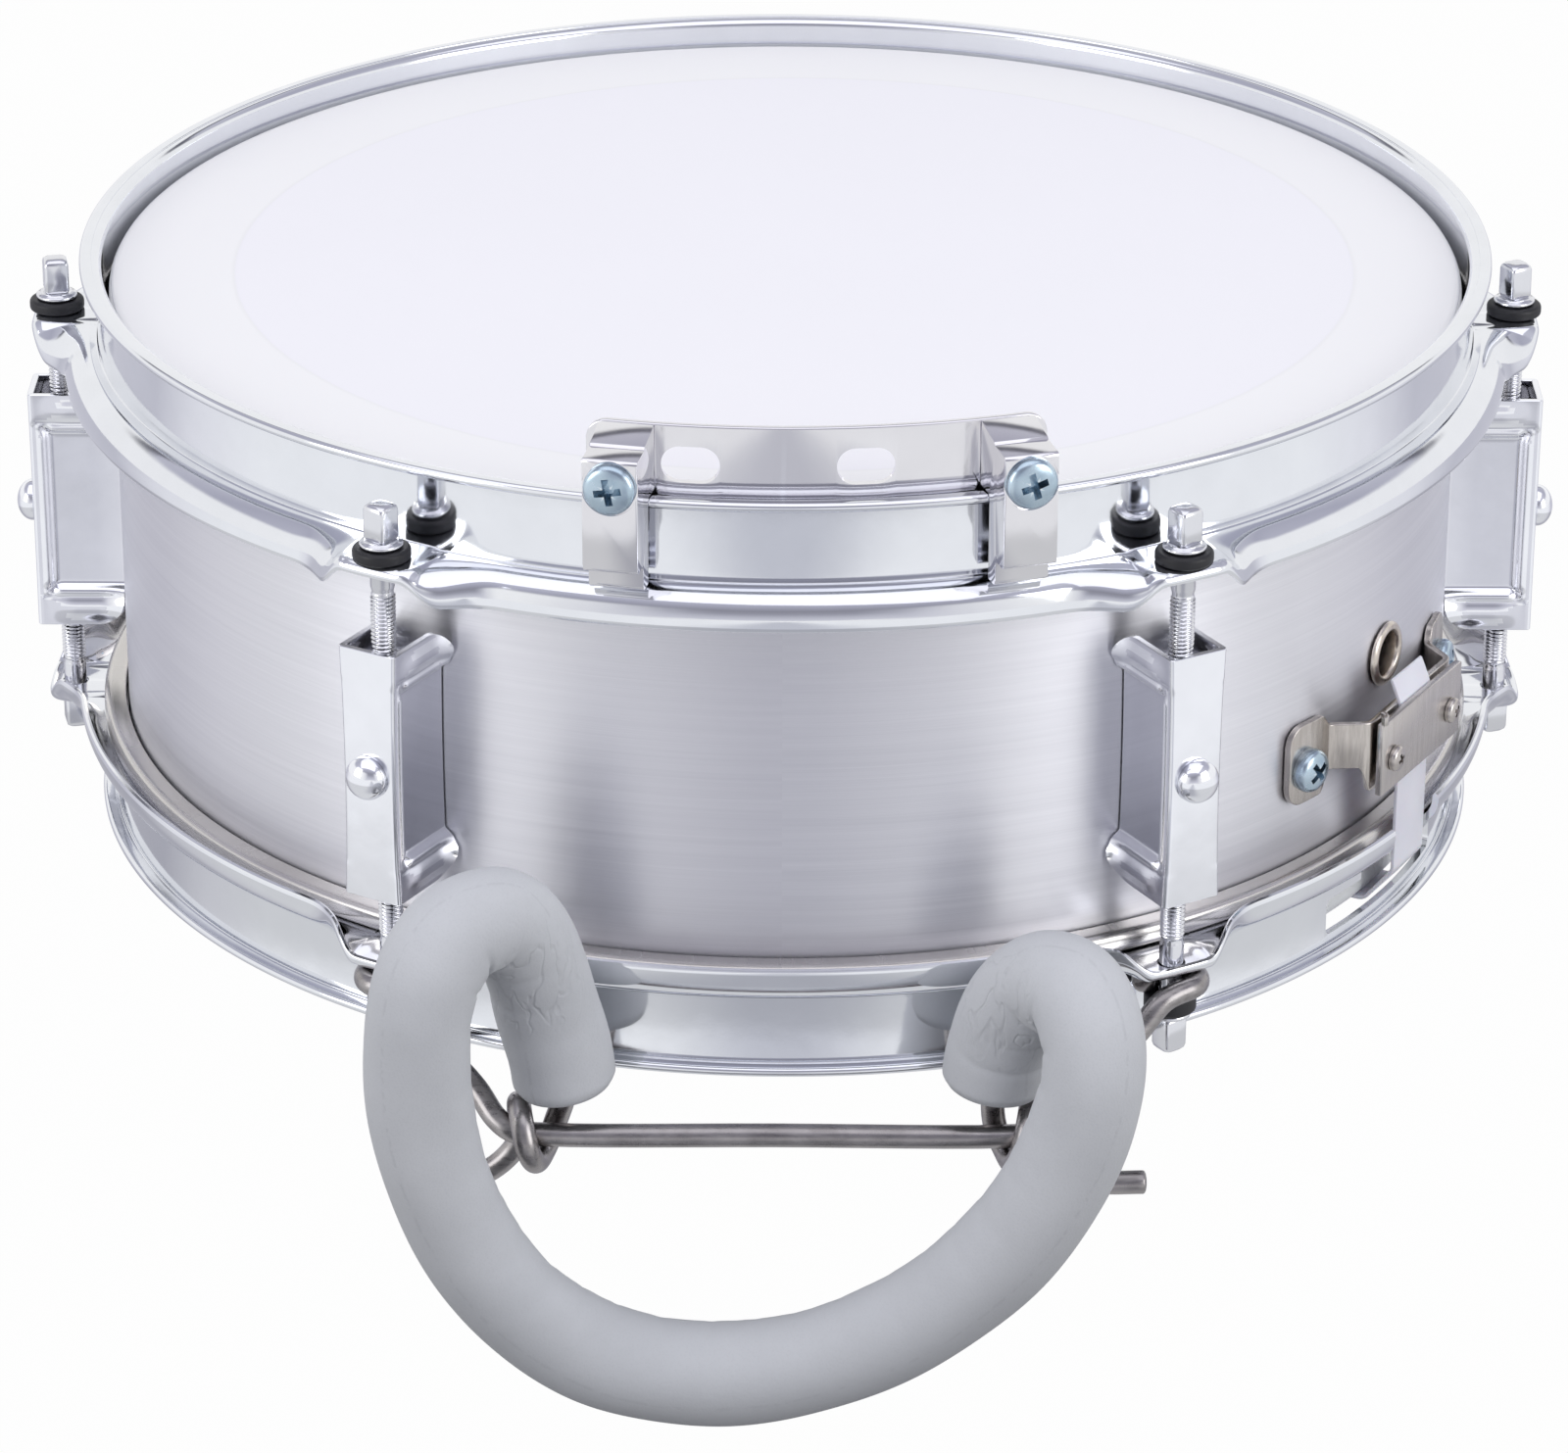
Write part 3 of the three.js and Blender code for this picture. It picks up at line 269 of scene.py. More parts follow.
def nickel(n, dark=(0.46, 0.425, 0.40), light=(0.58, 0.545, 0.52), scratch=0.03):
    lines = n.noise(n.coords((1.0, 1.0, 0.10)), 520.0, 5.0, 0.7)
    cloud = n.noise(n.coords(), 60.0, 4.0)
    colour = n.covered(dark, (lines, 0.32, 0.68, 1.0, light), (cloud, 0.4, 0.7, 0.4, dark))
    dull = n.math("ADD", n.remap(cloud, 0.3, 0.7, 0.16, 0.28), n.math("MULTIPLY", lines, 0.08))
    n.finish(n.worn(colour, 0.6, (0.85, 0.83, 0.80)), dull, n.bump(lines, scratch, 0.0002), 1.0,
             Anisotropic=0.4)


def white_plastic(n):
    place = n.coords()
    cloud = n.noise(place, 40.0, 4.0)
    colour = n.covered((0.78, 0.78, 0.86), (cloud, 0.3, 0.7, 1.0, (0.86, 0.86, 0.92)))
    n.finish(colour, n.remap(cloud, 0.3, 0.7, 0.32, 0.45), n.bump(n.noise(place, 900.0, 2.0), 0.04, 0.0001),
             Subsurface_Weight=0.08, Subsurface_Scale=0.002)


def stainless(n):
    draw = n.noise(n.coords((0.15, 1.0, 1.0)), 700.0, 4.0, 0.65)
    cloud = n.noise(n.coords(), 90.0, 4.0, 0.6)
    colour = n.covered((0.24, 0.225, 0.225), (cloud, 0.3, 0.7, 1.0, (0.40, 0.38, 0.38)),
                       (draw, 0.4, 0.7, 0.4, (0.50, 0.48, 0.48)))
    n.finish(colour, n.remap(draw, 0.3, 0.7, 0.22, 0.38), n.bump(draw, 0.06, 0.0002), 1.0)


def steel_wire(n):
    cloud = n.noise(n.coords(), 200.0, 4.0, 0.6)
    colour = n.covered((0.45, 0.46, 0.48), (cloud, 0.3, 0.7, 1.0, (0.66, 0.67, 0.70)))
    n.finish(colour, n.remap(cloud, 0.3, 0.7, 0.2, 0.35), n.bump(cloud, 0.05, 0.0002), 1.0)


def grey_foam(n):
    """Moulded foam: pores, soft clouds, painted shade on its lower part and in creases at two bends, and a
    dotted seam.
    """
    place = n.coords()
    pores = n.cells(place, 1500.0)
    fine = n.noise(place, 700.0, 4.0, 0.65)
    cloud = n.noise(place, 24.0, 5.0, 0.6)
    colour = n.covered((0.555, 0.57, 0.59), (cloud, 0.3, 0.7, 1.0, (0.625, 0.64, 0.66)),
                       (n.noise(place, 9.0, 2.0), 0.35, 0.7, 0.3, (0.595, 0.605, 0.625)))
    colour = n.mix(n.remap(pores, 0.0, 0.5, 0.10, 0.0), colour, (0.32, 0.33, 0.35))
    height = n.xyz(place)[2]
    # painted shade: the foam darker towards its bottom
    colour = n.mix(n.remap(height, -0.215, -0.15, 0.32, 0.0, True), colour, (0.36, 0.375, 0.40))
    near = []
    for spot in ((-62.6, -208.0, -106.0), (56.4, -206.0, -115.5)):
        gap = n.add("ShaderNodeVectorMath", {"operation": "DISTANCE"})
        n.put(gap.inputs[0], place)
        n.put(gap.inputs[1], [c * MM for c in spot])
        near.append(n.remap(gap.outputs["Value"], 8 * MM, 22 * MM, 1.0, 0.0, True))
    folds = n.noise(n.coords((1.0, 1.0, 0.4)), 170.0, 2.0, 0.5, 0.3)
    ridge = n.remap(n.math("ABSOLUTE", n.math("SUBTRACT", folds, 0.5)), 0.0, 0.05, 1.0, 0.0, True)
    crease = n.math("MULTIPLY", n.math("MAXIMUM", *near), ridge)
    seam = n.math("ABSOLUTE", n.add("ShaderNodeAttribute", {"attribute_name": "seam"}).outputs["Fac"])
    dots = n.remap(n.noise(place, 420.0, 2.0, 0.5), 0.42, 0.56, 0.0, 1.0, True)
    stitch = n.math("MULTIPLY", n.remap(seam, 0.15, 0.7, 1.0, 0.0, True), dots)
    colour = n.mix(n.math("MULTIPLY", stitch, 0.16), colour, (0.34, 0.35, 0.37))
    # painted shade in the creases at the two bends
    colour = n.mix(n.math("MULTIPLY", crease, 0.07), colour, (0.32, 0.33, 0.35))
    rise = n.math("ADD", n.math("MULTIPLY", pores, 0.5), n.math("MULTIPLY", fine, 0.8))
    normal = n.bump(cloud, 0.25, 0.0015, n.bump(rise, 0.16, 0.0003))
    n.finish(colour, n.remap(fine, 0.3, 0.7, 0.72, 0.9),
             n.bump(n.math("MULTIPLY", crease, -1.0), 0.35, 0.0006, normal),
             Specular_IOR_Level=0.2, Sheen_Weight=0.04, Sheen_Roughness=0.5)


CHROME = material(chrome, "chrome_hoop")
LUG_CHROME = material(chrome, "chrome_lug", (0.88, 0.89, 0.93), 0.08, 700.0, 0.22)
# painted shade: a darker copy of the lug's chrome for the lug's side faces
LUG_SHADED_SIDE = material(chrome, "chrome_lug_side_painted_shade", (0.70, 0.705, 0.765), 0.08, 700.0, 0.22)
PLATE_CHROME = material(chrome, "chrome_plate", (0.76, 0.75, 0.775), 0.08, 800.0, 0.2)
ROD_CHROME = material(chrome, "chrome_rod", (0.74, 0.745, 0.78), 0.12, 900.0, 0.15)
SHELL = material(brushed_shell, "brushed_aluminium")
RING = material(satin_ring, "satin_aluminium")
COATED = material(coated_head, "coated_film")
CLEAR = material(clear_head, "clear_film")
RUBBER = material(black_rubber, "black_rubber")
ZINC = material(zinc, "zinc_plate")
NICKEL = material(nickel, "nickel_plate")
BRUSHED = material(nickel, "brushed_nickel", (0.38, 0.35, 0.325), (0.60, 0.56, 0.525), 0.07)
TAN = material(nickel, "tan_nickel", (0.50, 0.44, 0.38), (0.72, 0.65, 0.58))
DARK = material(nickel, "dark_steel", (0.16, 0.16, 0.17), (0.32, 0.32, 0.34))
PLASTIC = material(white_plastic, "white_plastic")
STEEL = material(stainless, "stainless_rod")
WIRE = material(steel_wire, "snare_wire")
FOAM = material(grey_foam, "grey_foam")


# Mesh helpers
def around(angle):
    """Directions at an angle round the drum: out, across."""
    a = math.radians(angle)
    return np.array([math.sin(a), -math.cos(a), 0.0]), np.array([math.cos(a), math.sin(a), 0.0])


def facing(angle):
    """The turn that brings a piece made with its outside towards +X to an angle round the drum."""
    return Matrix.Rotation(math.radians(angle - 90), 4, "Z")


def placed(points, angle):
    """Radial places (out, across, up) put round the drum at an angle."""
    points = np.asarray(points, float)
    out, across = around(angle)
    return points[:, 0:1] * out + points[:, 1:2] * across + points[:, 2:3] * np.array([0, 0, 1.0])


def upright(section):
    """A section [out, up] as radial places."""
    section = np.asarray(section, float)
    return np.stack([section[:, 0], np.zeros(len(section)), section[:, 1]], 1)


def flipped(points):
    """Batter side places turned over to the snare side."""
    made = np.array(points, float)
    made[:, 2] = -DEPTH - made[:, 2]
    return made


def linked(name, data):
    obj = bpy.data.objects.new(name, data)
    bpy.context.scene.collection.objects.link(obj)
    return obj


def rig(obj, body, nodes=()):
    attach(obj, body)
    if nodes:
        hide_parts(*nodes)
    return obj


def soften(obj, angle):
    """Smooth faces with sharp edges where the surface turns by more than an angle."""
    if angle is None:
        return
    obj.data.polygons.foreach_set("use_smooth", [True] * len(obj.data.polygons))
    made = bmesh.new()
    made.from_mesh(obj.data)
    limit = math.radians(angle)
    for edge in made.edges:
        edge.smooth = len(edge.link_faces) != 2 or edge.calc_face_angle(0.0) < limit
    made.to_mesh(obj.data)
    made.free()


def mesh(name, points, faces, look, body=None, nodes=(), slot=None, smooth=30.0):
    """An object from places in millimetres. Faces may be lists of any length."""
    data = bpy.data.meshes.new(name)
    data.from_pydata([tuple(p * MM) for p in np.asarray(points, float)], [], [tuple(f) for f in faces])
    data.validate()
    made = bmesh.new()
    made.from_mesh(data)
    bmesh.ops.remove_doubles(made, verts=made.verts, dist=2e-6)
    bmesh.ops.recalc_face_normals(made, faces=made.faces)
    made.to_mesh(data)
    made.free()
    data.materials.append(look)
    obj = linked(name, data)
    soften(obj, smooth)
    return rig(obj, body, nodes) if body else obj


def apply(obj, smooth):
    """Turns the object's modifiers into plain geometry."""
    bpy.context.view_layer.update()
    graph = bpy.context.evaluated_depsgraph_get()
    data = bpy.data.meshes.new_from_object(obj.evaluated_get(graph))
    obj.modifiers.clear()
    obj.data = data
    soften(obj, smooth)
    return obj


def carve(obj, cutters, smooth=30.0):
    for cutter in cutters:
        change = obj.modifiers.new("cut", "BOOLEAN")
        change.operation = "DIFFERENCE"
        change.solver = "EXACT"
        change.object = cutter
    apply(obj, smooth)
    for cutter in cutters:
        bpy.data.objects.remove(cutter)
    return obj


def bevelled(obj, width, segments=2, angle=50.0):
    change = obj.modifiers.new("bevel", "BEVEL")
    change.width = width * MM
    change.segments = segments
    change.limit_method = "ANGLE"
    change.angle_limit = math.radians(angle)
    return apply(obj, 35.0)


def joined(name, parts):
    """Several loose objects as one, with their materials kept."""
    made = bmesh.new()
    looks = []
    for part in parts:
        data = part.data
        looks += [look for look in data.materials if look not in looks]
        data.transform(part.matrix_world)
        index = [looks.index(look) for look in data.materials]
        for poly in data.polygons:
            poly.material_index = index[poly.material_index]
        made.from_mesh(data)
        bpy.data.objects.remove(part)
    data = bpy.data.meshes.new(name)
    made.to_mesh(data)
    made.free()
    for look in looks:
        data.materials.append(look)
    return linked(name, data)


def rings(count, sides, closed=False, closed_sides=True, caps=False):
    """Quads between rings of points, and a face on the first and the last ring if they have caps."""
    faces = []
    for i in range(count if closed else count - 1):
        j = (i + 1) % count
        for k in range(sides if closed_sides else sides - 1):
            m = (k + 1) % sides
            faces.append((i * sides + k, i * sides + m, j * sides + m, j * sides + k))
    if caps:
        faces += [tuple(range(sides))[::-1], tuple(range((count - 1) * sides, count * sides))]
    return faces


def turned(points, segments=480, centre=(0.0, 0.0)):
    """Places and faces of a profile [radius, height] turned about Z. A profile that touches the axis
    ends there, and any other closes on itself."""
    on_axis = abs(points[0][0]) < 1e-9 and abs(points[-1][0]) < 1e-9
    body = points[1:-1] if on_axis else points
    places, sides = [], len(body)
    for i in range(segments):
        a = 2 * math.pi * i / segments
        places += [(centre[0] + r * math.cos(a), centre[1] + r * math.sin(a), z) for r, z in body]
    faces = rings(segments, sides, True, not on_axis)
    if on_axis:
        first = len(places)
        places += [(*centre, points[0][1]), (*centre, points[-1][1])]
        for i in range(segments):
            j = (i + 1) % segments
            faces.append((first, j * sides, i * sides))
            faces.append((first + 1, i * sides + sides - 1, j * sides + sides - 1))
    return np.array(places), faces


def rounded(points, radii, steps=5, closed=False):
    """A line whose corners are rounded. radii holds one radius for each point, or one for all."""
    made = []
    count = len(points)
    for i, point in enumerate(points):
        point = np.array(point, float)
        radius = radii[i] if hasattr(radii, "__len__") else radii
        if radius <= 0 or (not closed and i in (0, count - 1)):
            made.append(point)
            continue
        before = np.array(points[i - 1], float) - point
        after = np.array(points[(i + 1) % count], float) - point
        la, lb = np.linalg.norm(before), np.linalg.norm(after)
        before, after = before / la, after / lb
        half = math.acos(max(-1.0, min(1.0, float(before @ after)))) / 2
        if half > math.pi / 2 - 1e-4:
            made.append(point)
            continue
        back = min(radius / math.tan(half), 0.495 * la, 0.495 * lb)
        size = back * math.tan(half)
        centre = point + (before + after) / np.linalg.norm(before + after) * (size / math.sin(half))
        start, end = point + before * back - centre, point + after * back - centre
        sweep = math.pi - 2 * half
        for t in np.arange(steps + 1) / steps:
            arc = start * math.sin((1 - t) * sweep) + end * math.sin(t * sweep)
            made.append(centre + arc / math.sin(sweep))
    return np.array(made)


def box_line(x, y, radii, steps):
    """A closed rectangle between limits in x and y, with its corners rounded from the lower left one on."""
    return rounded([(x[0], y[0]), (x[1], y[0]), (x[1], y[1]), (x[0], y[1])], radii, steps, closed=True)


def bar_profile(radius, low, high):
    """The profile [radius, height] of a plain round bar."""
    return [(0, low), (radius, low), (radius, high), (0, high)]


def unit(rows):
    return rows / np.linalg.norm(rows, axis=1)[:, None]


def leftward(line):
    """Directions along a flat line and to its left."""
    step = unit(np.gradient(line, axis=0))
    return step, np.stack([-step[:, 1], step[:, 0]], 1)


def thick(line, metal, edge=3):
    """A closed section round an open line, with rounded ends."""
    line = np.asarray(line, float)
    step, side = leftward(line)
    half = metal / 2

    def end(centre, ahead, sideways):
        return [centre + half * (sideways * math.cos(a) + ahead * math.sin(a))
                for a in np.linspace(0, math.pi, edge + 2)[1:-1]]

    return np.array([*(line + side * half), *end(line[-1], step[-1], side[-1]),
                     *(line - side * half)[::-1], *end(line[0], -step[0], -side[0])])


def prism(section, low, high):
    """A flat outline pushed from low to high along the third direction."""
    count = len(section)
    places = [(*p, low) for p in section] + [(*p, high) for p in section]
    return np.array(places, float), rings(2, count, caps=True)


def oblong(width, height, corner, steps, centre=(0.0, 0.0)):
    """A rectangle with round corners, as [x, y]."""
    made = []
    for sx, sy, quarter in ((1, 1, 0), (-1, 1, 1), (-1, -1, 2), (1, -1, 3)):
        for k in range(steps + 1):
            a = (quarter + k / steps) * math.pi / 2
            made.append((centre[0] + sx * (width / 2 - corner) + corner * math.cos(a),
                         centre[1] + sy * (height / 2 - corner) + corner * math.sin(a)))
    return np.array(made)


def curve_points(places, per):
    """A smooth line through places (centripetal Catmull-Rom)."""
    p = [np.array(q, float) for q in places]
    p = [2 * p[0] - p[1], *p, 2 * p[-1] - p[-2]]

    def between(a, b, t, ta, tb):
        return (tb - t) / (tb - ta) * a + (t - ta) / (tb - ta) * b

    made = []
    for a, b, c, d in zip(p, p[1:], p[2:], p[3:]):
        times = [0.0]
        for start, end in ((a, b), (b, c), (c, d)):
            times.append(times[-1] + max(np.linalg.norm(end - start), 1e-6) ** 0.5)
        t0, t1, t2, t3 = times
        for t in np.linspace(t1, t2, per, endpoint=False):
            e, f, g = between(a, b, t, t0, t1), between(b, c, t, t1, t2), between(c, d, t, t2, t3)
            made.append(between(between(e, f, t, t0, t2), between(f, g, t, t1, t3), t, t1, t2))
    return np.array([*made, p[-2]])


def frames(line):
    """Directions along a line, and two across it that don't twist along it."""
    step = unit(np.gradient(line, axis=0))
    side = np.cross(step[0], [0.0, 0.0, 1.0])
    side /= np.linalg.norm(side)
    first = []
    for s in step:
        side = side - s * (side @ s)
        side /= np.linalg.norm(side)
        first.append(side)
    return step, np.array(first), np.cross(step, first)


def circle(first, second, angles):
    """Directions round a line at one of its points."""
    return np.cos(angles)[:, None] * first + np.sin(angles)[:, None] * second


def tube(line, radius, sides=24):
    """A round rod along a line, with domed ends."""
    step, first, second = frames(line)
    dome = [(radius * 0.3 * math.sin(a), radius * (0.3 + 0.7 * math.cos(a))) for a in (0.45, 0.9, 1.5)]
    last = len(line) - 1
    stations = [(line[0] - step[0] * out, size, 0) for out, size in dome[::-1]]
    stations += [(p, radius, i) for i, p in enumerate(line)]
    stations += [(line[-1] + step[-1] * out, size, last) for out, size in dome]
    angles = 2 * np.pi * np.arange(sides) / sides
    places = [centre + size * circle(first[i], second[i], angles) for centre, size, i in stations]
    return np.concatenate(places), rings(len(stations), sides, caps=True)


def radial_turned(points, segments, height=0.0, across=0.0):
    """A profile [radius, distance from the drum's axis] turned about a radial line."""
    places, faces = turned(points, segments)
    return np.stack([places[:, 2], places[:, 0] + across, places[:, 1] + height], 1), faces


def across_turned(points, segments, out, height):
    """A profile [radius, distance across] turned about a line across the drum's side."""
    places, faces = turned(points, segments)
    return np.stack([places[:, 0] + out, places[:, 2], places[:, 1] + height], 1), faces


def cutter(places, faces):
    return mesh("cutter", places, faces, CHROME, smooth=None)


def bore(radius, near, far, height, angle=90.0, across=0.0, segments=28):
    """A round cutter along a radial line. At 90 degrees it stands in a piece's own frame."""
    places, faces = radial_turned(bar_profile(radius, near, far), segments, height, across)
    return cutter(placed(places, angle), faces)


def across_prism(outline, half):
    """An outline [out, up] pushed across its place, as wide on both sides."""
    places, faces = prism(outline, -half, half)
    return places[:, [0, 2, 1]], faces


def outward_prism(outline, near, far):
    """An outline [across, up] pushed outwards."""
    places, faces = prism(outline, near, far)
    return places[:, [2, 0, 1]], faces


def slot_cutter(outline, near, far, angle):
    places, faces = outward_prism(outline, near, far)
    return cutter(placed(places, angle), faces)


def loft(name, stations, look, smooth=35.0):
    """A closed section at each station, with flat ends."""
    return mesh(name, np.concatenate(stations), rings(len(stations), len(stations[0]), caps=True), look,
                smooth=smooth)


def corner_cut(end, corner):
    """How far a round corner draws an edge in, at a distance from the piece's end."""
    return corner - math.sqrt(max(0.0, corner ** 2 - (corner - end) ** 2)) if end < corner else 0.0


def smoother(t):
    t = max(0.0, min(1.0, t))
    return t * t * t * (t * (6 * t - 15) + 10)


# Shell, heads and flesh hoops
def shell():
    outline = box_line((SHELL_INNER, SHELL_R), (0.4 - DEPTH, -0.4), [0.3, 0.8, 0.8, 0.3], 4)
    near, far = 170, 184
    cutters = [bore(6.5, near, far, VENT_HEIGHT, BUTT, segments=40)]
    cutters += [bore(2.7, near, far, MIDDLE, angle, segments=20) for angle in LUGS]
    cutters += [bore(2.1, near, far, -90, BUTT + side * MOUNT_SPREAD, segments=20) for side in (-1, 1)]
    cutters += [bore(2.1, near, far, height, STRAINER, segments=20) for height in RIVET_HEIGHTS]
    rig(carve(mesh("shell_skin", *turned(outline), SHELL), cutters), "drum", ["shell"])


def heads():
    """Two films, each flat with a rounded edge and a collar wall that flares into its hoop."""
    outer = [(0, 0)] + [(r, 0) for r in np.linspace(20, 170, 16)]
    outer += [(174.5, -0.02), (175.9, -0.08), (176.9, -0.3), (177.6, -0.75), (178.1, -1.5), (178.35, -2.6),
              (178.4, -4.0), (178.4, -18.5)]
    inner = [(178.12, -18.5), (178.12, -4.0), (178.02, -2.7), (177.75, -1.8), (177.35, -1.1), (176.8, -0.62),
             (175.8, -0.36), (174.5, -0.3), (0, -0.3)]
    places, faces = turned(outer + inner)
    mesh("batter_film", places, faces, COATED, "drum", ["batter_head"], "batter_film", 50)
    mesh("snare_film", flipped(places), faces, CLEAR, "drum", ["snare_head"], "snare_film", 50)


def flesh_hoops():
    bead = [(178.5, -22.8), (184.5, -22.8), (184.5, -16.8), (179.2, -16.8), (179.2, -8.8), (178.5, -8.8)]
    places, faces = turned(rounded(bead, [0.5, 2.4, 2.2, 0.8, 0.3, 0.3], 6, closed=True))
    mesh("batter_ring", places, faces, RING, "drum", ["batter_flesh_hoop"], "flesh_hoop")
    mesh("snare_ring", flipped(places), faces, RING, "drum", ["snare_flesh_hoop"], "flesh_hoop")


# Counter hoops
def hoop_section(drop, spread, flat, skirt):
    """The hoop's section. In an ear drop, spread and flat are 1: the lip is short, the flange is wide
    and level. Between ears they are 0 and the skirt is one round bulge."""
    metal, lip_low, ear_lip, fold = 1.8, -24.3, 3.3, 1.3
    wall = HOOP_R + metal / 2
    reach = skirt + (EAR_R - skirt) * spread - metal / 2
    edge = lip_low - (lip_low + BASE_DROP + ear_lip) * drop + metal / 2
    base = -BASE_DROP - metal / 2
    crease = base - 0.45 * (1 - flat)
    rim = RIM_RISE - 1.2
    down = 1.4 + (base - edge - 2.0) * (1 - flat)
    across = min(1.5 + (reach - wall - 4.7) * (1 - flat), down ** 2 / 1.05)
    upper = rounded([(RIM_R - 1.2, rim), (wall, rim), (wall, crease + 4.0)], [0, fold, 0], 6)
    inner = [(wall + fold * (1 - math.cos(a)), crease + fold * (1 - math.sin(a)))
             for a in np.linspace(0, math.pi / 2, 7)]
    bulge = [(reach - across * (1 - math.sin(a)), base - down * (1 - math.cos(a)))
             for a in np.linspace(0, math.pi / 2, 20)]
    return thick([*upper, *inner, (wall + 1.75, crease), *bulge, (reach, edge)], metal)


def hoop_ring(front_skirt):
    """The hoop's sections all round, close together where the ears begin."""
    half = [*np.arange(-30, -9.9, 0.4), *np.arange(-9.9, -4.6, 0.25), *np.arange(-4.6, -1.4, 0.1),
            *np.arange(-1.4, 1.5, 0.35)]
    offsets = {round(float(o), 3) for o in half} | {round(-float(o), 3) for o in half if o > -30}
    sections = []
    for lug in LUGS:
        for turn in sorted(offsets):
            offset = abs(turn)
            drop = 1 - smoother((offset - 1.95) / (5.4 - 1.95))
            spread = 1 - smoother((offset - 1.2) / (9.5 - 1.2))
            flat = 1 - smoother((offset - 1.95) / 1.15)
            from_front = abs((lug + turn + 180.0) % 360.0 - 180.0)
            skirt = front_skirt + (SKIRT_R - front_skirt) * smoother((from_front - 30.0) / 10.0)
            sections.append(placed(upright(hoop_section(drop, spread, flat, skirt)), lug + turn))
    return np.concatenate(sections), rings(len(sections), len(sections[0]), True)


def rod_holes(low, high):
    return [cutter(*turned(bar_profile(3.55, low, high), 40, around(angle)[0][:2] * ROD_R)) for angle in LUGS]


def gates():
    """Cutters for the bottom hoop's two gates and for the notches that run into them."""
    rim = -DEPTH - RIM_RISE
    made = []
    for angle, width, shift in ((BUTT, 25.4, -2.2), (STRAINER, 21.0, 0.0)):
        made.append(slot_cutter(oblong(62, 10, 2.0, 5, (0, rim + 10.2)), 171.0, 186.4, angle))
        made.append(slot_cutter(oblong(width, 34, 1.5, 4, (shift, rim + 30.2)), 171.0, 202.0, angle))
    return made


def hoop(name, front_skirt, side, cutters):
    """A hoop and its rolled rim, for the batter side or turned over by side."""
    places, faces = hoop_ring(front_skirt)
    body = carve(mesh("body", side(places), faces, CHROME, smooth=40), cutters, 40)
    rim = box_line((RIM_R - 3.2, RIM_R), (RIM_RISE - 2.4, RIM_RISE), [0.3, 1.15, 1.15, 0.3], 6)
    bead, bead_faces = turned(rim)
    whole = joined(f"{name}_chrome", [body, mesh("rim", side(bead), bead_faces, CHROME)])
    rig(whole, "drum", [name])


def hoops():
    hoop("top_hoop", SKIRT_R, np.array, rod_holes(-22, -10))
    hoop("bottom_hoop", FRONT_SKIRT_R, flipped, rod_holes(10 - DEPTH, 22 - DEPTH) + gates())


# Lugs and their bolts
def lug_section(height):
    """Half of the lug's section at a height: outer line from the back edge to the middle of the front."""
    end = min(LUG_TOP - height, height - LUG_LOW)
    seat, turn, band = 178.15, 1.2, 9.6
    back = seat + corner_cut(end, 8.0)
    half = 8.15 - 0.55 * math.sin(math.pi * min(0.5, end / 66.7)) ** 0.8
    near = LUG_FRONT - turn
    places = []
    for r in np.linspace(back, near, 36):
        depth = LUG_FRONT - r
        aside, along = 3.2 - depth, band - end
        inside = max(aside, along) if max(aside, along) < 0 else math.hypot(max(aside, 0), max(along, 0))
        y = half - 1.7 * smoother(-inside / 2.6)
        # a bead round the sunk panel, a groove outside it and a dimple in its corner
        y += 0.25 * math.exp(-(inside / 1.0) ** 2)
        y -= 0.22 * math.exp(-((inside - 1.6) / 0.7) ** 2) * smoother((depth - 0.6) / 0.6)
        y -= 1.1 * math.exp(-((depth - 4.2) / 1.2) ** 2 - ((end - 10.2) / 1.3) ** 2)
        # a shoulder near each end and a flare towards the shell
        y += 0.8 * math.sin(math.pi * min(1.0, end / band)) ** 2 * smoother((depth - 2.0) / 9.0)
        y += (0.2 + 1.6 * smoother((11.5 - end) / 5.0)) * max(0.0, 1 - (r - seat) / 7.0) ** 2
        places.append((r, y))
    edge = places[-1][1]
    places += [(near + turn * math.sin(a), edge - turn + turn * math.cos(a))
               for a in np.linspace(0, math.pi / 2, 7)[1:]]
    return np.array(places + [(LUG_FRONT, (edge - turn) * t) for t in (0.66, 0.33, 0.0)])


def lug_mesh():
    """The lug's bent sheet, as sections from its top to its bottom."""
    metal = 1.6
    ends = [0.0, 0.15, 0.4, 0.8, 1.3, 2.0, 2.8, 3.6, 4.6, 5.6, 6.5, 7.2, 7.8, *np.arange(8.3, 12.0, 0.4),
            12.4, 13.0, 13.8, 15.0, 16.5]
    heights = [LUG_TOP - e for e in [*ends, *np.linspace(19, LUG_TOP - LUG_LOW - 19, 9)]]
    heights += [LUG_LOW + e for e in reversed(ends)]
    last = len(heights) - 1
    places = []
    for index, height in enumerate(heights):
        half = lug_section(height)
        outer = np.concatenate([half, (half * (1, -1))[::-1][1:]])
        wall = np.concatenate([outer, (outer - leftward(outer)[1] * metal)[::-1]])
        if index in (0, last):
            wall += ((wall + wall[::-1]) / 2 - wall) * 0.18
        places += [(*p, height) for p in wall]
    count = len(outer)
    sides = 2 * count
    faces = rings(len(heights), sides)
    for base in (0, last * sides):
        faces += [(base + k, base + k + 1, base + sides - 2 - k, base + sides - 1 - k)
                  for k in range(count - 1)]
    return places, faces


def lug_nut(low):
    """The nut that is crimped into one end of a lug: a block with a hole for the rod."""
    high = low + 7.0
    block = mesh("nut", *prism(box_line((188.2, 200.0), (-5.0, 5.0), 1.0, 3), low, high), DARK, smooth=None)
    return carve(block, [cutter(*turned(bar_profile(3.5, low - 2, high + 2), 28, (ROD_R, 0)))])


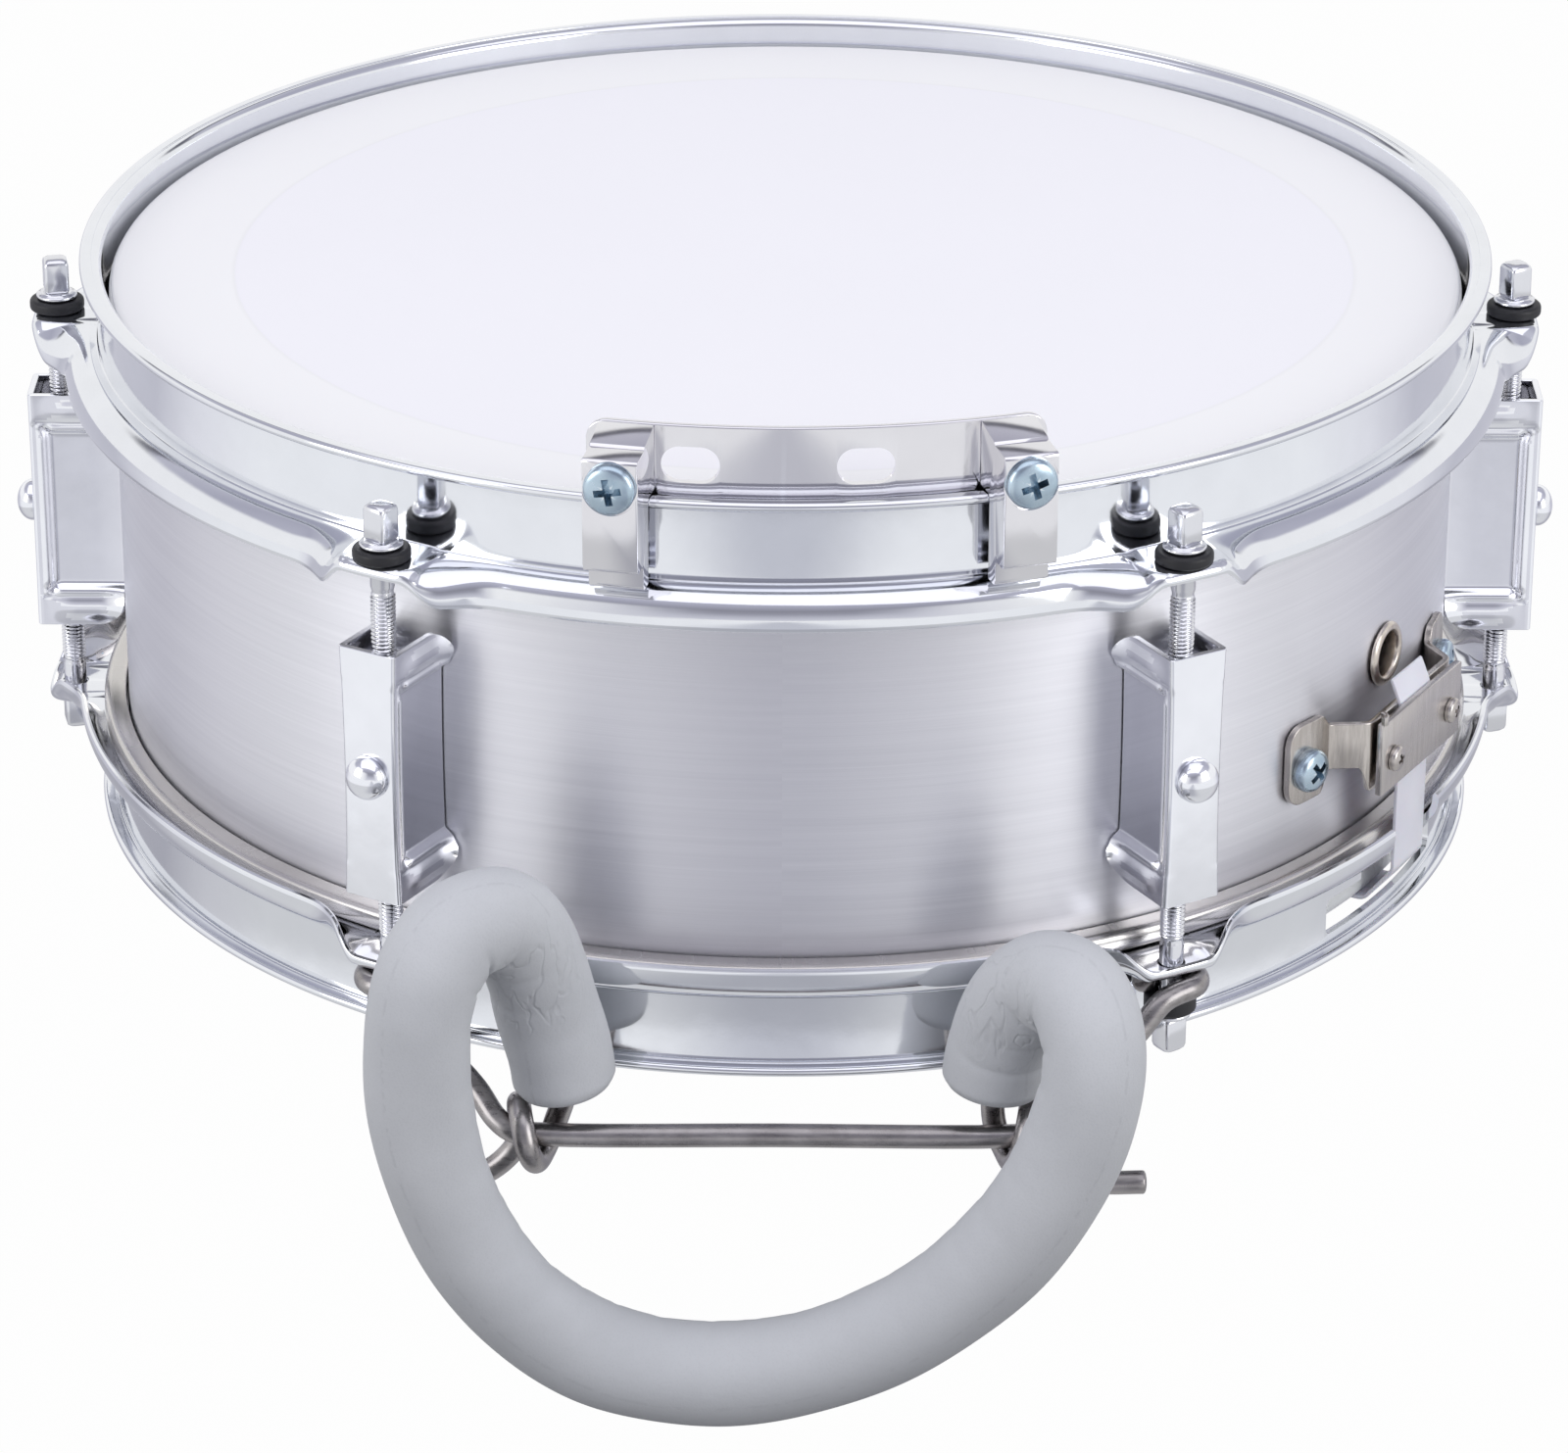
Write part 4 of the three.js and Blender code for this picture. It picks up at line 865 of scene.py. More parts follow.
def dome_bolt():
    """The bolt that holds a lug: a domed head outside and a nut inside the shell."""
    under = LUG_FRONT + 0.1
    head = [(0, under + 4.9)]
    head += [(5.6 * math.sin(a), under + 0.7 + 4.2 * math.cos(a))
             for a in np.linspace(0, math.pi / 2, 12)[1:]]
    head += [(5.6, under + 0.25), (5.35, under), (2.45, under), (2.45, 175.5), (4.6, 175.5), (4.6, 171.7),
             (4.2, 171.5), (2.4, 171.5), (2.4, 170.7), (0, 170.7)]
    return radial_turned(head, 48, MIDDLE)


def spun(name, data, angle, turn=0.0):
    """A piece made with its outside towards +X, turned to an angle. A rod turns about its own axis too."""
    obj = linked(name, data)
    axis = Matrix.Translation((ROD_R * MM, 0, 0))
    obj.matrix_world = facing(angle) @ axis @ Matrix.Rotation(math.radians(turn), 4, "Z") @ axis.inverted()
    return obj


def lugs():
    box = carve(mesh("lug", *lug_mesh(), LUG_CHROME, smooth=40), [bore(2.7, 198, 204, MIDDLE)], 40)
    # the lug's side faces take the darker copy: painted shade
    box.data.materials.append(LUG_SHADED_SIDE)
    for poly in box.data.polygons:
        if abs(poly.normal.y) > 0.985:
            poly.material_index = 1
    whole = joined("lug_whole", [box, lug_nut(LUG_TOP - 12.5), lug_nut(LUG_LOW + 5.5)])
    bolt, bolt_faces = dome_bolt()
    for number, angle in enumerate(LUGS, 1):
        rig(spun(f"lug_box_{number}", whole.data, angle), "drum", [f"lug_{number}"])
        mesh(f"lug_dome_{number}", placed(bolt, angle), bolt_faces, LUG_CHROME, "drum",
             [f"lug_bolt_{number}"], "chrome", 40)
    bpy.data.objects.remove(whole)


# Tension rods and their washers
def rod_mesh(standing):
    """A tension rod about Z, from its thread's end to its square head, in batter side heights."""
    flange = -BASE_DROP + standing + 0.1
    sides, pitch, core, ridge = 28, 1.06, 2.72, 0.46
    low, high = -BASE_DROP - 45.5, -23.4
    turns = np.arange(sides) / sides
    rows = [(low, np.full(sides, 1.9))]
    for z in np.linspace(low, high, int((high - low) / pitch * 8) + 1):
        fade = max(0.0, min(1.0, (z - low) / 1.6, (high - z) / 1.2))
        rows.append((z, core + ridge * fade * (1 - abs(2 * ((z / pitch - turns) % 1.0) - 1))))
    collar = [(-0.4, 3.05), (0, 3.3), (0, 4.9), (0.15, 5.25), (0.55, 5.45), (1.0, 5.4), (1.25, 5.1),
              (1.3, 4.4), (1.7, 4.2)]
    neck = [(-23.0, 2.75), (-22.4, 2.95), (-21.8, 3.05)] + [(flange + up, r) for up, r in collar]
    rows += [(z, np.full(sides, r)) for z, r in neck]
    angles = 2 * np.pi * turns
    body = loft("rod", [np.stack([ROD_R + r * np.cos(angles), r * np.sin(angles), np.full(sides, z)], 1)
                        for z, r in rows], ROD_CHROME, 60)
    top = flange + 11.1
    levels = [(flange + 1.5, 5.4, 1.6), (flange + 2.0, 6.2, 1.1), (flange + 2.6, 6.45, 0.8),
              (top - 1.6, 6.4, 0.8), (top - 0.8, 6.1, 1.1), (top - 0.3, 5.3, 1.5), (top - 0.05, 4.0, 1.7),
              (top, 2.0, 0.9)]
    square = loft("square", [[(ROD_R + x, y, z) for x, y in oblong(width, width, corner, 4)]
                             for z, width, corner in levels], ROD_CHROME, 50)
    return joined("rod_whole", [body, square])


def washer_mesh(low, height, radius):
    outline = box_line((3.6, radius), (low, low + height), [0.3, 0.7, 1.0, 0.4], 5)
    return mesh("washer", *turned(outline, 48, (ROD_R, 0)), RUBBER, smooth=50)


def turned_over(obj):
    """A batter side piece turned over to the snare side, with its faces outward."""
    obj.data.transform(Matrix.Translation((0, 0, -DEPTH * MM)) @ Matrix.Diagonal((1, 1, -1, 1)))
    obj.data.flip_normals()
    return obj


def rods():
    """Rods and washers. The two front bottom rods stand higher, on the leg rest's eyelets."""
    upper, plain, standing = rod_mesh(3.1), turned_over(rod_mesh(0.0)), turned_over(rod_mesh(11.1))
    band = washer_mesh(-BASE_DROP + 0.1, 2.95, 7.2)
    spacer = turned_over(washer_mesh(-BASE_DROP + 6.1, 4.9, 6.6))
    top_turns, low_turns = (8, 31, -17, 40, 12, -9), (6, 22, 35, -20, 14, 30)
    for number, (angle, top_turn, low_turn) in enumerate(zip(LUGS, top_turns, low_turns), 1):
        front = number in (1, 6)
        lower = standing if front else plain
        for word, source, turn in (("top", upper, top_turn), ("bottom", lower, low_turn)):
            rod = f"{word}_rod_{number}"
            rig(spun(f"{word}_tension_rod_{number}", source.data, angle, turn), rod, [rod])
        rig(spun(f"rod_washer_{number}", band.data, angle), "drum", [f"rubber_washer_{number}"])
        if front:
            rig(spun(f"eyelet_washer_{number}", spacer.data, angle), "drum", [])
    for obj in (upper, plain, standing, band, spacer):
        bpy.data.objects.remove(obj)


# Screws with a cross recess
def pan_head(radius, height, shank, length, recess=1.0):
    """A pan headed screw along X: its head's underside is at 0, its head points to +X."""
    profile = [(0, height)]
    for k in range(1, 10):
        a = math.pi / 2 * k / 9
        profile.append((radius * (0.45 + 0.55 * math.sin(a)) * min(1, 0.5 + k / 9),
                        height * (0.35 + 0.65 * math.cos(a))))
    profile += [(radius, height * 0.22), (radius * 0.97, 0.0), (shank, 0.0), (shank, -length), (0, -length)]
    blades = []
    for turn in (1, -1):
        stations = []
        for x, taper in ((-height * 0.25, 0.42), (height + 1, 1.0)):
            y, z = (radius * 0.62 * recess * taper, radius * 0.145 * (0.75 + 0.25 * taper))[::turn]
            stations.append([(x, -y, -z), (x, y, -z), (x, y, z), (x, -y, z)])
        blades.append(loft("cutter", stations, CHROME, None))
    return carve(mesh("pan", *radial_turned(profile, 56), ZINC, smooth=None), blades, 32)


def put_screw(name, source, angle, place, turn, look, node):
    """A copy of a screw, put at a radial place and turned about its own axis."""
    data = source.data.copy()
    data.materials.clear()
    data.materials.append(look)
    obj = linked(name, data)
    obj.matrix_world = (facing(angle) @ Matrix.Translation(Vector(place) * MM)
                        @ Matrix.Rotation(math.radians(turn), 4, "X"))
    rig(obj, "drum", [node])


# Sling plate and clamps
def sling_plate():
    inner, outer, low, high, corner, half_turn = 177.3, 179.3, 1.5, 24.0, 5.0, 17.9
    length = math.radians(half_turn) * inner
    ends = [length - corner * (1 - math.cos(math.radians(a))) for a in np.linspace(8, 90, 9)]
    middle = np.linspace(corner - length, length - corner, 90)[1:-1]
    stations = []
    for s in sorted([*ends, *middle, *(-e for e in ends)]):
        cut = corner_cut(length - abs(s), corner)
        section = box_line((inner, outer), (low + cut, high - cut), 0.5, 3)
        stations.append(placed(upright(section), SLING + math.degrees(s / inner)))
    span = inner * math.sin(math.radians(half_turn))
    cutters = [slot_cutter(oblong(14.0, 9.3, 4.5, 8, (span * share, CLAMP_HOLE)), 170, 186, SLING)
               for share in (-0.557, 0.209)]
    cutters += [bore(2.5, 170, 186, CLAMP_HOLE, angle, segments=24) for angle in CLAMPS]
    rig(carve(loft("sling", stations, PLATE_CHROME, None), cutters, 40), "drum", ["sling_plate"])


def clamps():
    """Two blocks that grip the rim between themselves and the plate, each with a screw in a sunk seat."""
    back, jaw, lip, face = 179.65, 186.15, 191.55, 197.4
    profile = [(back, 24.0), (back, 7.35), (jaw, 7.35), (jaw, -14.4), (lip, -14.4), (lip, -7.8), (face, -7.8),
               (face, 21.0), (189.7, 21.35), (189.2, 21.95)]
    outline = rounded(profile, [0.5, 0.4, 0.8, 0.6, 1.6, 1.2, 1.2, 1.0, 0.0, 0.25], 3, closed=True)
    base = bevelled(mesh("clamp", *across_prism(outline, 6.75), PLATE_CHROME, smooth=None), 0.55)
    carve(base, [bore(2.5, 170, 205, CLAMP_HOLE), bore(6.9, face - 0.7, 205, CLAMP_HOLE, segments=56)], 35)
    screw = pan_head(6.3, 3.2, 2.35, 20.0)
    for word, angle, turn in zip(("left", "right"), CLAMPS, (10, 16)):
        rig(spun(f"clamp_block_{word}", base.data, angle), "drum", [f"sling_clamp_{word}"])
        put_screw(f"clamp_screw_{word}", screw, angle, (face - 0.6, 0, CLAMP_HOLE), turn, ZINC,
                  f"sling_screw_{word}")
    bpy.data.objects.remove(base)
    bpy.data.objects.remove(screw)


# Leg rest
BAR = (-1.5, -200.0, -155.0)
REST_ROD = 2.95
FOAM_R = 13.0
BOW_REACH, BOW_FORWARD, BOW_RISE, BOW_DROP = 87.0, 28.0, 64.0, 53.0
# The bow's middle from left to right, as shares: aside of its reach, forward, and up of its rise or drop
BOW = [
    (-0.61, -0.18, 0.18), (-0.66, -0.15, 0.52), (-0.71, 0.02, 0.82), (-0.79, 0.3, 0.99), (-0.9, 0.62, 0.99),
    (-0.97, 0.84, 0.86), (-1, 0.91, 0.62), (-0.99, 0.91, 0.25), (-0.91, 0.9, -0.18), (-0.75, 0.9, -0.6),
    (-0.5, 0.9, -0.9), (-0.19, 0.9, -1), (0.12, 0.9, -0.91), (0.4, 0.9, -0.68), (0.63, 0.92, -0.32),
    (0.79, 0.96, 0.11), (0.86, 0.94, 0.45), (0.855, 0.78, 0.64), (0.81, 0.48, 0.725), (0.735, 0.18, 0.7),
    (0.66, -0.03, 0.56), (0.62, -0.15, 0.38), (0.6, -0.18, 0.19),
]


def frame_side(side):
    """One side of the frame's rod: an eyelet round the front bottom rod, then an arm to the cross bar."""
    height = -DEPTH + BASE_DROP - 0.1 - REST_ROD
    x, y = around(30)[0][:2] * ROD_R
    places = []
    for a in np.radians(np.linspace(192, -58, 17)):
        places.append((side * (x + 6.8 * math.cos(a)), y + 6.8 * math.sin(a), height))
    start = np.array(places[-1])
    end = np.array([BAR[0] + side * 56.5, BAR[1], BAR[2]])
    shares = ((0.13, 0.14, 0.05), (0.27, 0.28, 0.3), (0.586, 0.62, 0.715), (0.712, 0.85, 0.912),
              (0.815, 0.968, 0.983), (1, 1, 1))
    return places + [start + (end - start) * share for share in shares]


def bow_end(side):
    """One end of the bow's rod: an eye round the cross bar, then a tail that stops the swing."""
    places = []
    for step, (across, growth) in enumerate(zip((0, 0.28, 0.5, 0.7, 0.86, 0.96, 1),
                                                (0, 0.05, 0.1, 0.15, 0.24, 0.62, 1))):
        radius, a = 6.5 + 2.2 * growth, -2 * math.pi * step / 6
        places.append((BAR[0] + side * (54.2 + 9.2 * across), BAR[1] + radius * math.cos(a),
                       BAR[2] + radius * math.sin(a)))
    x, y, z = places[-1]
    return places + [(x + side * 28 * out, y, z - 17.5 * down)
                     for out, down in ((0.02, 0.42), (0.28, 0.86), (0.6, 1), (1, 1))]


def leg_rest():
    frame_line = curve_points([*frame_side(-1), BAR, *frame_side(1)[::-1]], 6)
    mesh("rest_frame", *tube(frame_line, REST_ROD), STEEL, "drum", ["leg_rest_frame"], "stainless", 60)
    middle = [(a * BOW_REACH, BAR[1] - f * BOW_FORWARD, BAR[2] + u * (BOW_RISE if u > 0 else BOW_DROP))
              for a, f, u in BOW]
    left, right, per = bow_end(-1)[::-1], bow_end(1), 8
    line = curve_points([*left, *middle, *right], per)
    mesh("rest_bow", *tube(line, REST_ROD), STEEL, "leg_rest", ["leg_rest_bow"], "stainless", 60)
    foam(line[len(left) * per:(len(left) + len(middle) - 1) * per + 1])


def mark_seam(obj, line):
    """Keeps each vertex's distance in millimetres from the moulding seam, which runs along the tube's
    front but towards its outside."""
    co = np.array([v.co for v in obj.data.vertices]) / MM
    nearest = np.array([np.argmin(((line - p) ** 2).sum(1)) for p in co])
    step = unit(np.gradient(line, axis=0))

    def square_to_line(v):
        return unit(v - step * (v * step).sum(1)[:, None])

    front = square_to_line(np.tile([0.0, -0.91, 0.42], (len(line), 1)))
    outward = square_to_line((line - line.mean(0)) * (1, 0, 1))
    outward = square_to_line(outward - front * (outward * front).sum(1)[:, None])
    lean = math.radians(37)
    way = (front * math.cos(lean) + outward * math.sin(lean))[nearest]
    aside = (outward * math.cos(lean) - front * math.sin(lean))[nearest]
    off = co - line[nearest]
    angle = np.arctan2((off * aside).sum(1), (off * way).sum(1))
    mark = obj.data.attributes.new("seam", "FLOAT", "POINT")
    mark.data.foreach_set("value", (angle * FOAM_R).astype(np.float32))


def foam(line):
    """The foam tube over the bow, with the folds that its tight bends press into it."""
    sides, bore_radius = 96, 3.45
    fine = curve_points(line[::4], 10)
    step, first, second = frames(fine)
    run = np.concatenate([[0], np.cumsum(np.linalg.norm(np.diff(fine, axis=0), axis=1))])
    bend = np.gradient(step, axis=0) / np.gradient(run)[:, None]
    kernel = np.exp(-np.linspace(-2, 2, 25) ** 2)
    kernel /= kernel.sum()
    bend = np.stack([np.convolve(np.pad(bend[:, i], 12, "edge"), kernel, "valid") for i in range(3)], 1)
    angles = 2 * np.pi * np.arange(sides) / sides
    phases = np.random.default_rng(7).uniform(0, 2 * np.pi, 6)

    def ring(i, size, out=0.0):
        return fine[i] + circle(first[i], second[i], angles) * np.reshape(size, (-1, 1)) + step[i] * out

    stations = []
    for i, s in enumerate(run):
        tight = np.clip(circle(first[i], second[i], angles) @ bend[i] * 25.0, 0, 1.6)
        fold = (np.maximum(0, np.sin(s / 2.1 + 0.7 * np.sin(s / 9.0 + phases[0]) + phases[1])) ** 3
                + 0.6 * np.maximum(0, np.sin(s / 3.3 + phases[2])) ** 4)
        wide = 0.18 * np.sin(s / 17.0 + phases[3]) + 0.12 * np.sin(s / 6.1 + phases[4] + 2 * angles)
        lump = 0.10 * np.sin(3 * angles + s / 11.0 + phases[5])
        close = 1.0 - 0.10 * math.exp(-(min(s, run[-1] - s) / 1.2) ** 2)
        stations.append(ring(i, FOAM_R * close - 0.55 * tight * fold + wide + lump - 0.25))
    last = len(fine) - 1
    ends = (10.6, 8.0, 5.2, bore_radius)
    stations += [ring(last, size, 0.3) for size in ends]
    stations += [ring(i, bore_radius) for i in range(last, -1, -1)]
    stations += [ring(0, size, -0.3) for size in ends[::-1]]
    obj = mesh("rest_foam", np.concatenate(stations), rings(len(stations), sides, True), FOAM, "leg_rest",
               ["leg_rest_foam"], "foam", 60)
    mark_seam(obj, fine)


# Butt side
def strap(name, line, lows, highs, metal, look):
    """A bent strap of sheet: line holds (out, across) of its middle, lows and highs its edges."""
    stations = []
    for p, side, low, high in zip(line, leftward(line)[1], lows, highs):
        section = box_line((-metal / 2, metal / 2), (low, high), 0.35, 3)
        stations.append([(*(p - side * a), z) for a, z in section])
    return loft(name, stations, look)


def at_butt(obj, name, node):
    obj.matrix_world = facing(BUTT)
    obj.name = name
    rig(obj, "drum", [node])


def pin_holes():
    return [bore(1.8, 170, 195, PIN_HEIGHT, across=side * PIN_SPREAD, segments=24) for side in (-1, 1)]


def butt_bracket():
    """A strap with a foot on the shell at each end and a bridge that stands off between them."""
    metal, tip, corner = 1.8, 45.5, 5.0
    skin = 178.1 + metal / 2 + 0.05
    bridge = 186.4 - metal / 2
    bridge_top, bridge_low, middle_low, foot_top, foot_low = -82.5, -95.0, -101.9, -79.0, -101.0

    def on_shell(t):
        return (math.sqrt(skin ** 2 - t ** 2), t)

    knee = on_shell(30)[0]
    half = [(bridge, 0), (bridge, 8), (bridge, 16), (bridge, 21.5), (bridge - 0.6, 23.6),
            ((bridge + knee) / 2, 26.6), (knee + 0.5, 29.6)]
    half += [on_shell(t) for t in (32.5, 36, 40, 43, tip)]
    fine = curve_points(half, 7)
    line = np.concatenate([(fine * (1, -1))[::-1][:-1], fine])
    lows, highs = [], []
    for d in np.abs(line[:, 1]):
        foot = smoother((d - 29.0) / 4.5)
        cut = corner_cut(tip - d, corner)
        middle = bridge_low + (middle_low - bridge_low) * (1 - smoother((d - 22.6) / 2.6))
        lows.append(middle + (foot_low - middle) * foot + cut)
        highs.append(bridge_top + (foot_top - bridge_top) * foot - cut)
    mounts = [bore(2.05, 170, 190, -90, 90 + side * MOUNT_SPREAD, segments=24) for side in (-1, 1)]
    obj = carve(strap("bracket", line, lows, highs, metal, BRUSHED), mounts + pin_holes(), 35)
    at_butt(obj, "butt_strap", "butt_bracket")


def butt_plate():
    """The plate that clamps the strip, with a small bent tab, and the butt's four screws."""
    outline = box_line((-23.6, 23.6), (-102.6, -82.6), 0.6, 2)
    plate = bevelled(mesh("plate", *outward_prism(outline, 187.65, 189.65), NICKEL, smooth=None), 0.35)
    line = curve_points([(189.0, -23.2), (189.3, -21.8), (188.6, -20.4), (187.2, -19.8)], 4)
    tab = strap("tab", line, [-83.2] * len(line), [-80.6] * len(line), 1.1, NICKEL)
    at_butt(joined("plate_whole", [carve(plate, pin_holes(), 35), tab]), "butt_clamp", "butt_clamp_plate")
    small, large = pan_head(3.4, 2.2, 1.55, 5.2, 0.9), pan_head(5.7, 4.3, 1.85, 9.0)
    for word, side, turn in (("left", -1, 20), ("right", 1, 65)):
        put_screw(f"clamp_pin_{word}", small, BUTT, (189.8, side * PIN_SPREAD, PIN_HEIGHT), turn, NICKEL,
                  f"butt_clamp_screw_{word}")
        put_screw(f"mount_pin_{word}", large, BUTT + side * MOUNT_SPREAD, (180.0, 0, -91.5), turn + 15, ZINC,
                  f"butt_mount_screw_{word}")
    bpy.data.objects.remove(small)
    bpy.data.objects.remove(large)


def snare_strip(name, angle, top, node, lean=0.0, slides=False):
    """The plastic strip: down outside the hoop, in through the gate, then under the head. Its upper end
    leans in, or, for the strainer's strip, stays where it is put, on no body."""
    out, bend, under = 187.0, -130.3, -140.4
    line = rounded([(out - lean, top), (out, top - 6.0), (out, bend), (179.2, under), (158.0, under)],
                   [0, 5.0 if lean else 0, 3.0, 3.5, 0], 8)
    obj = bevelled(mesh(name, *across_prism(thick(line, 0.95, 1), 8.8), PLASTIC, smooth=None), 0.2, 2, 60)
    obj.data.transform(facing(angle))
    if slides:
        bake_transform(obj)
        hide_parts(node)
    else:
        rig(obj, "drum", [node])


def snare_strips():
    snare_strip("butt_ribbon", BUTT, -77.0, "butt_strip", lean=2.6)
    snare_strip("strainer_ribbon", STRAINER, -80.35, "strainer_strip", slides=True)


def vent():
    profile = [(5.7, 174.3), (6.35, 174.3), (6.35, 178.15), (8.4, 178.15), (8.6, 178.5), (8.4, 178.95),
               (7.8, 179.4), (7.0, 179.6), (6.3, 179.45), (5.9, 179.0), (5.7, 178.4)]
    places, faces = radial_turned(profile, 72, VENT_HEIGHT)
    mesh("vent_ring", placed(places, BUTT), faces, TAN, "drum", ["vent_eyelet"], "nickel", 50)


# Strainer side
LEVER_PIN = (191.1, -72)
STEM_OUT = 186.6


def block(name, out, across, up, look, edge=0.4):
    """A box with rounded edges between limits, as a loose piece in radial places."""
    (x0, x1), (y0, y1) = out, across
    outline = oblong(x1 - x0, y1 - y0, edge * 1.5, 3, ((x0 + x1) / 2, (y0 + y1) / 2))
    return bevelled(mesh(name, *prism(outline, *up), look, smooth=None), edge)


def at_strainer(name, parts, body, node):
    obj = joined(name, parts)
    obj.data.transform(facing(STRAINER))
    rig(obj, body, [node])


def strainer_base():
    """A channel of bent sheet: its back on the shell, its cheeks hold the lever's pin."""
    back, face, front, side = 178.1, 181.1, 201.0, 13.5
    line = rounded([(front, -side), (back + 1.5, -side), (back + 1.5, side), (front, side)],
                   [0, 3.4, 3.4, 0], 6)
    channel = mesh("channel", *prism(thick(line, 3.0, 4), -110.0, -54.0), NICKEL, smooth=None)
    # the cheeks end higher than the back, in a long curve
    start = 183.2
    curve = [(start + 19.8 * math.sin(a) ** 1.3, -107.5 + 16.5 * (1 - math.cos(a)))
             for a in np.linspace(0, math.pi / 2, 13)]
    cut = [(start, -112), (start, -107.5), *curve, (204, -91), (204, -112)]
    hole = across_turned(bar_profile(2.55, -20, 20), 32, *LEVER_PIN)
    carve(channel, [cutter(*across_prism(cut, 20)), cutter(*hole)], 35)
    cross = block("cross", (181.0, 192.0), (-13.2, 13.2), (-57.0, -54.0), NICKEL)
    carve(cross, [cutter(*turned(bar_profile(2.75, -60, -50), 32, (STEM_OUT, 0)))], 35)
    rivet = [(0, face + 1.5), (2.0, face + 1.4), (3.3, face + 0.9), (3.7, face), (1.8, face), (1.8, 171.5),
             (0, 171.5)]
    rivets = [mesh("rivet", *radial_turned(rivet, 32, height), ZINC, smooth=40) for height in RIVET_HEIGHTS]
    at_strainer("strainer_channel", [channel, cross, *rivets], "drum", "strainer_base")


def strainer_lever():
    """A pressed handle with a rounded tip, an arm to its pin and a hub between the cheeks."""
    near, far, top, tip = 201.45, 204.4, -70.6, 6.6
    outline = [(-5.2, top), (5.2, top)]
    outline += [(tip * math.cos(a), -104.8 - tip * math.sin(a)) for a in np.linspace(0, math.pi, 17)]
    outline = rounded(outline, [1.6, 1.6] + [0] * 17, 4, closed=True)
    handle = bevelled(mesh("handle", *outward_prism(outline, near, far), CHROME, smooth=None), 0.9, 4)
    dent = [(0, far - 0.7), (3.6, far - 0.5), (4.3, far + 1), (0, far + 1)]
    carve(handle, [cutter(*radial_turned(dent, 40, -104.5))], 40)
    arm = block("arm", (191.6, far - 0.4), (-4.4, 4.4), (-73.4, -70.6), CHROME, 0.6)
    hub = [(0, -11.6), (4.0, -11.6), (4.35, -11.2), (4.35, -7.2), (3.7, -6.6), (3.7, 6.6), (4.35, 7.2),
           (4.35, 11.2), (4.0, 11.6), (0, 11.6)]
    pin = [(0, -15.6), (1.6, -15.6), (2.15, -15.1), (2.15, 15.1), (1.6, 15.6), (0, 15.6)]
    parts = [handle, arm, mesh("hub", *across_turned(hub, 40, *LEVER_PIN), CHROME, smooth=40),
             mesh("pin", *across_turned(pin, 32, *LEVER_PIN), ZINC, smooth=40)]
    at_strainer("strainer_handle", parts, "lever", "strainer_lever")


def strainer_slide():
    """The block that the lever lifts: a jaw plate with two screws clamps the strip in it."""
    low, high, half = -106.0, -80.0, 11.6
    body = block("body", (181.5, 190.4), (-half, half), (low, high), NICKEL, 0.7)
    cutters = [block("cutter", (186.05, 187.95), (-9.1, 9.1), (low - 3, high + 3), NICKEL, 0.2)]
    cutters += [block("cutter", (189.9, 191.5), (-12, 12), (z, z + 0.8), NICKEL, 0.1) for z in (-87.4, -99.4)]
    parts = [carve(body, cutters, 35)]
    for side, turn in ((-1, 25), (1, 70)):
        screw = pan_head(3.2, 2.2, 1.5, 1.6, 0.9)
        screw.data.transform(Matrix.Translation((190.35 * MM, side * 5.5 * MM, -93 * MM))
                             @ Matrix.Rotation(math.radians(turn), 4, "X"))
        parts.append(screw)
    at_strainer("strainer_jaw", parts, "slide", "strainer_slide")


def strainer_knob():
    """A knurled thumb knob on its stem."""
    low, high = -53.65, -43.65
    levels = [(low, 4.6), (low + 0.3, 5.5), (low + 1.0, 5.95), (low + 1.6, 5.95), (high - 2.6, 5.95),
              (high - 2.0, 5.8), (high - 1.0, 5.2), (high - 0.25, 4.2), (high, 3.2), (high - 0.5, 2.4),
              (high - 0.6, 0.8)]
    angles = 2 * np.pi * np.arange(144) / 144
    stations = []
    for index, (z, radius) in enumerate(levels):
        knurl = 0.38 if 2 <= index <= 5 else 0.0
        r = radius - knurl * (0.5 - 0.5 * np.cos(24 * angles))
        stations.append(np.stack([STEM_OUT + r * np.cos(angles), r * np.sin(angles), np.full(144, z)], 1))
    stem = [(0, -58.6), (2.0, -58.6), (2.35, -58.2), (2.35, low + 0.2), (0, low + 0.2)]
    parts = [loft("head", stations, CHROME), mesh("stem", *turned(stem, 32, (STEM_OUT, 0)), ZINC, smooth=40)]
    at_strainer("strainer_thumb_knob", parts, "knob", "strainer_knob")


def snare_wires():
    """Sixteen coiled strands between two end plates under the snare side head."""
    parts = []
    for side in (-1, 1):
        plate = prism(oblong(8.9, 55.6, 1.6, 5, (side * 153.2, 0)), -141.15, -140.25)
        parts.append(bevelled(mesh("plate", *plate, NICKEL, smooth=None), 0.15, 2, 60))
    sides, pitch, per, reach = 8, 1.5, 5, 151.8
    phase = 2 * math.pi * np.arange(sides) / sides
    for wire in range(16):
        across = (wire - 7.5) * 3.2
        stations = []
        for along in np.linspace(-reach, reach, int(2 * reach / pitch * per) + 1):
            turn = 2 * math.pi * along / pitch + wire
            radius = 0.50 + 0.16 * min(1.0, (reach - abs(along)) / 3.0) * np.cos(phase - turn)
            height = -141.4 + 0.05 * math.sin(along / 23.0 + wire)
            stations.append(np.stack([np.full(sides, along), across + radius * np.cos(phase),
                                      height + radius * np.sin(phase)], 1))
        parts.append(loft("strand", stations, WIRE, 80))
    whole = joined("snare_strands", parts)
    whole.data.transform(facing(BUTT))
    rig(whole, "drum", ["snare_wires"])


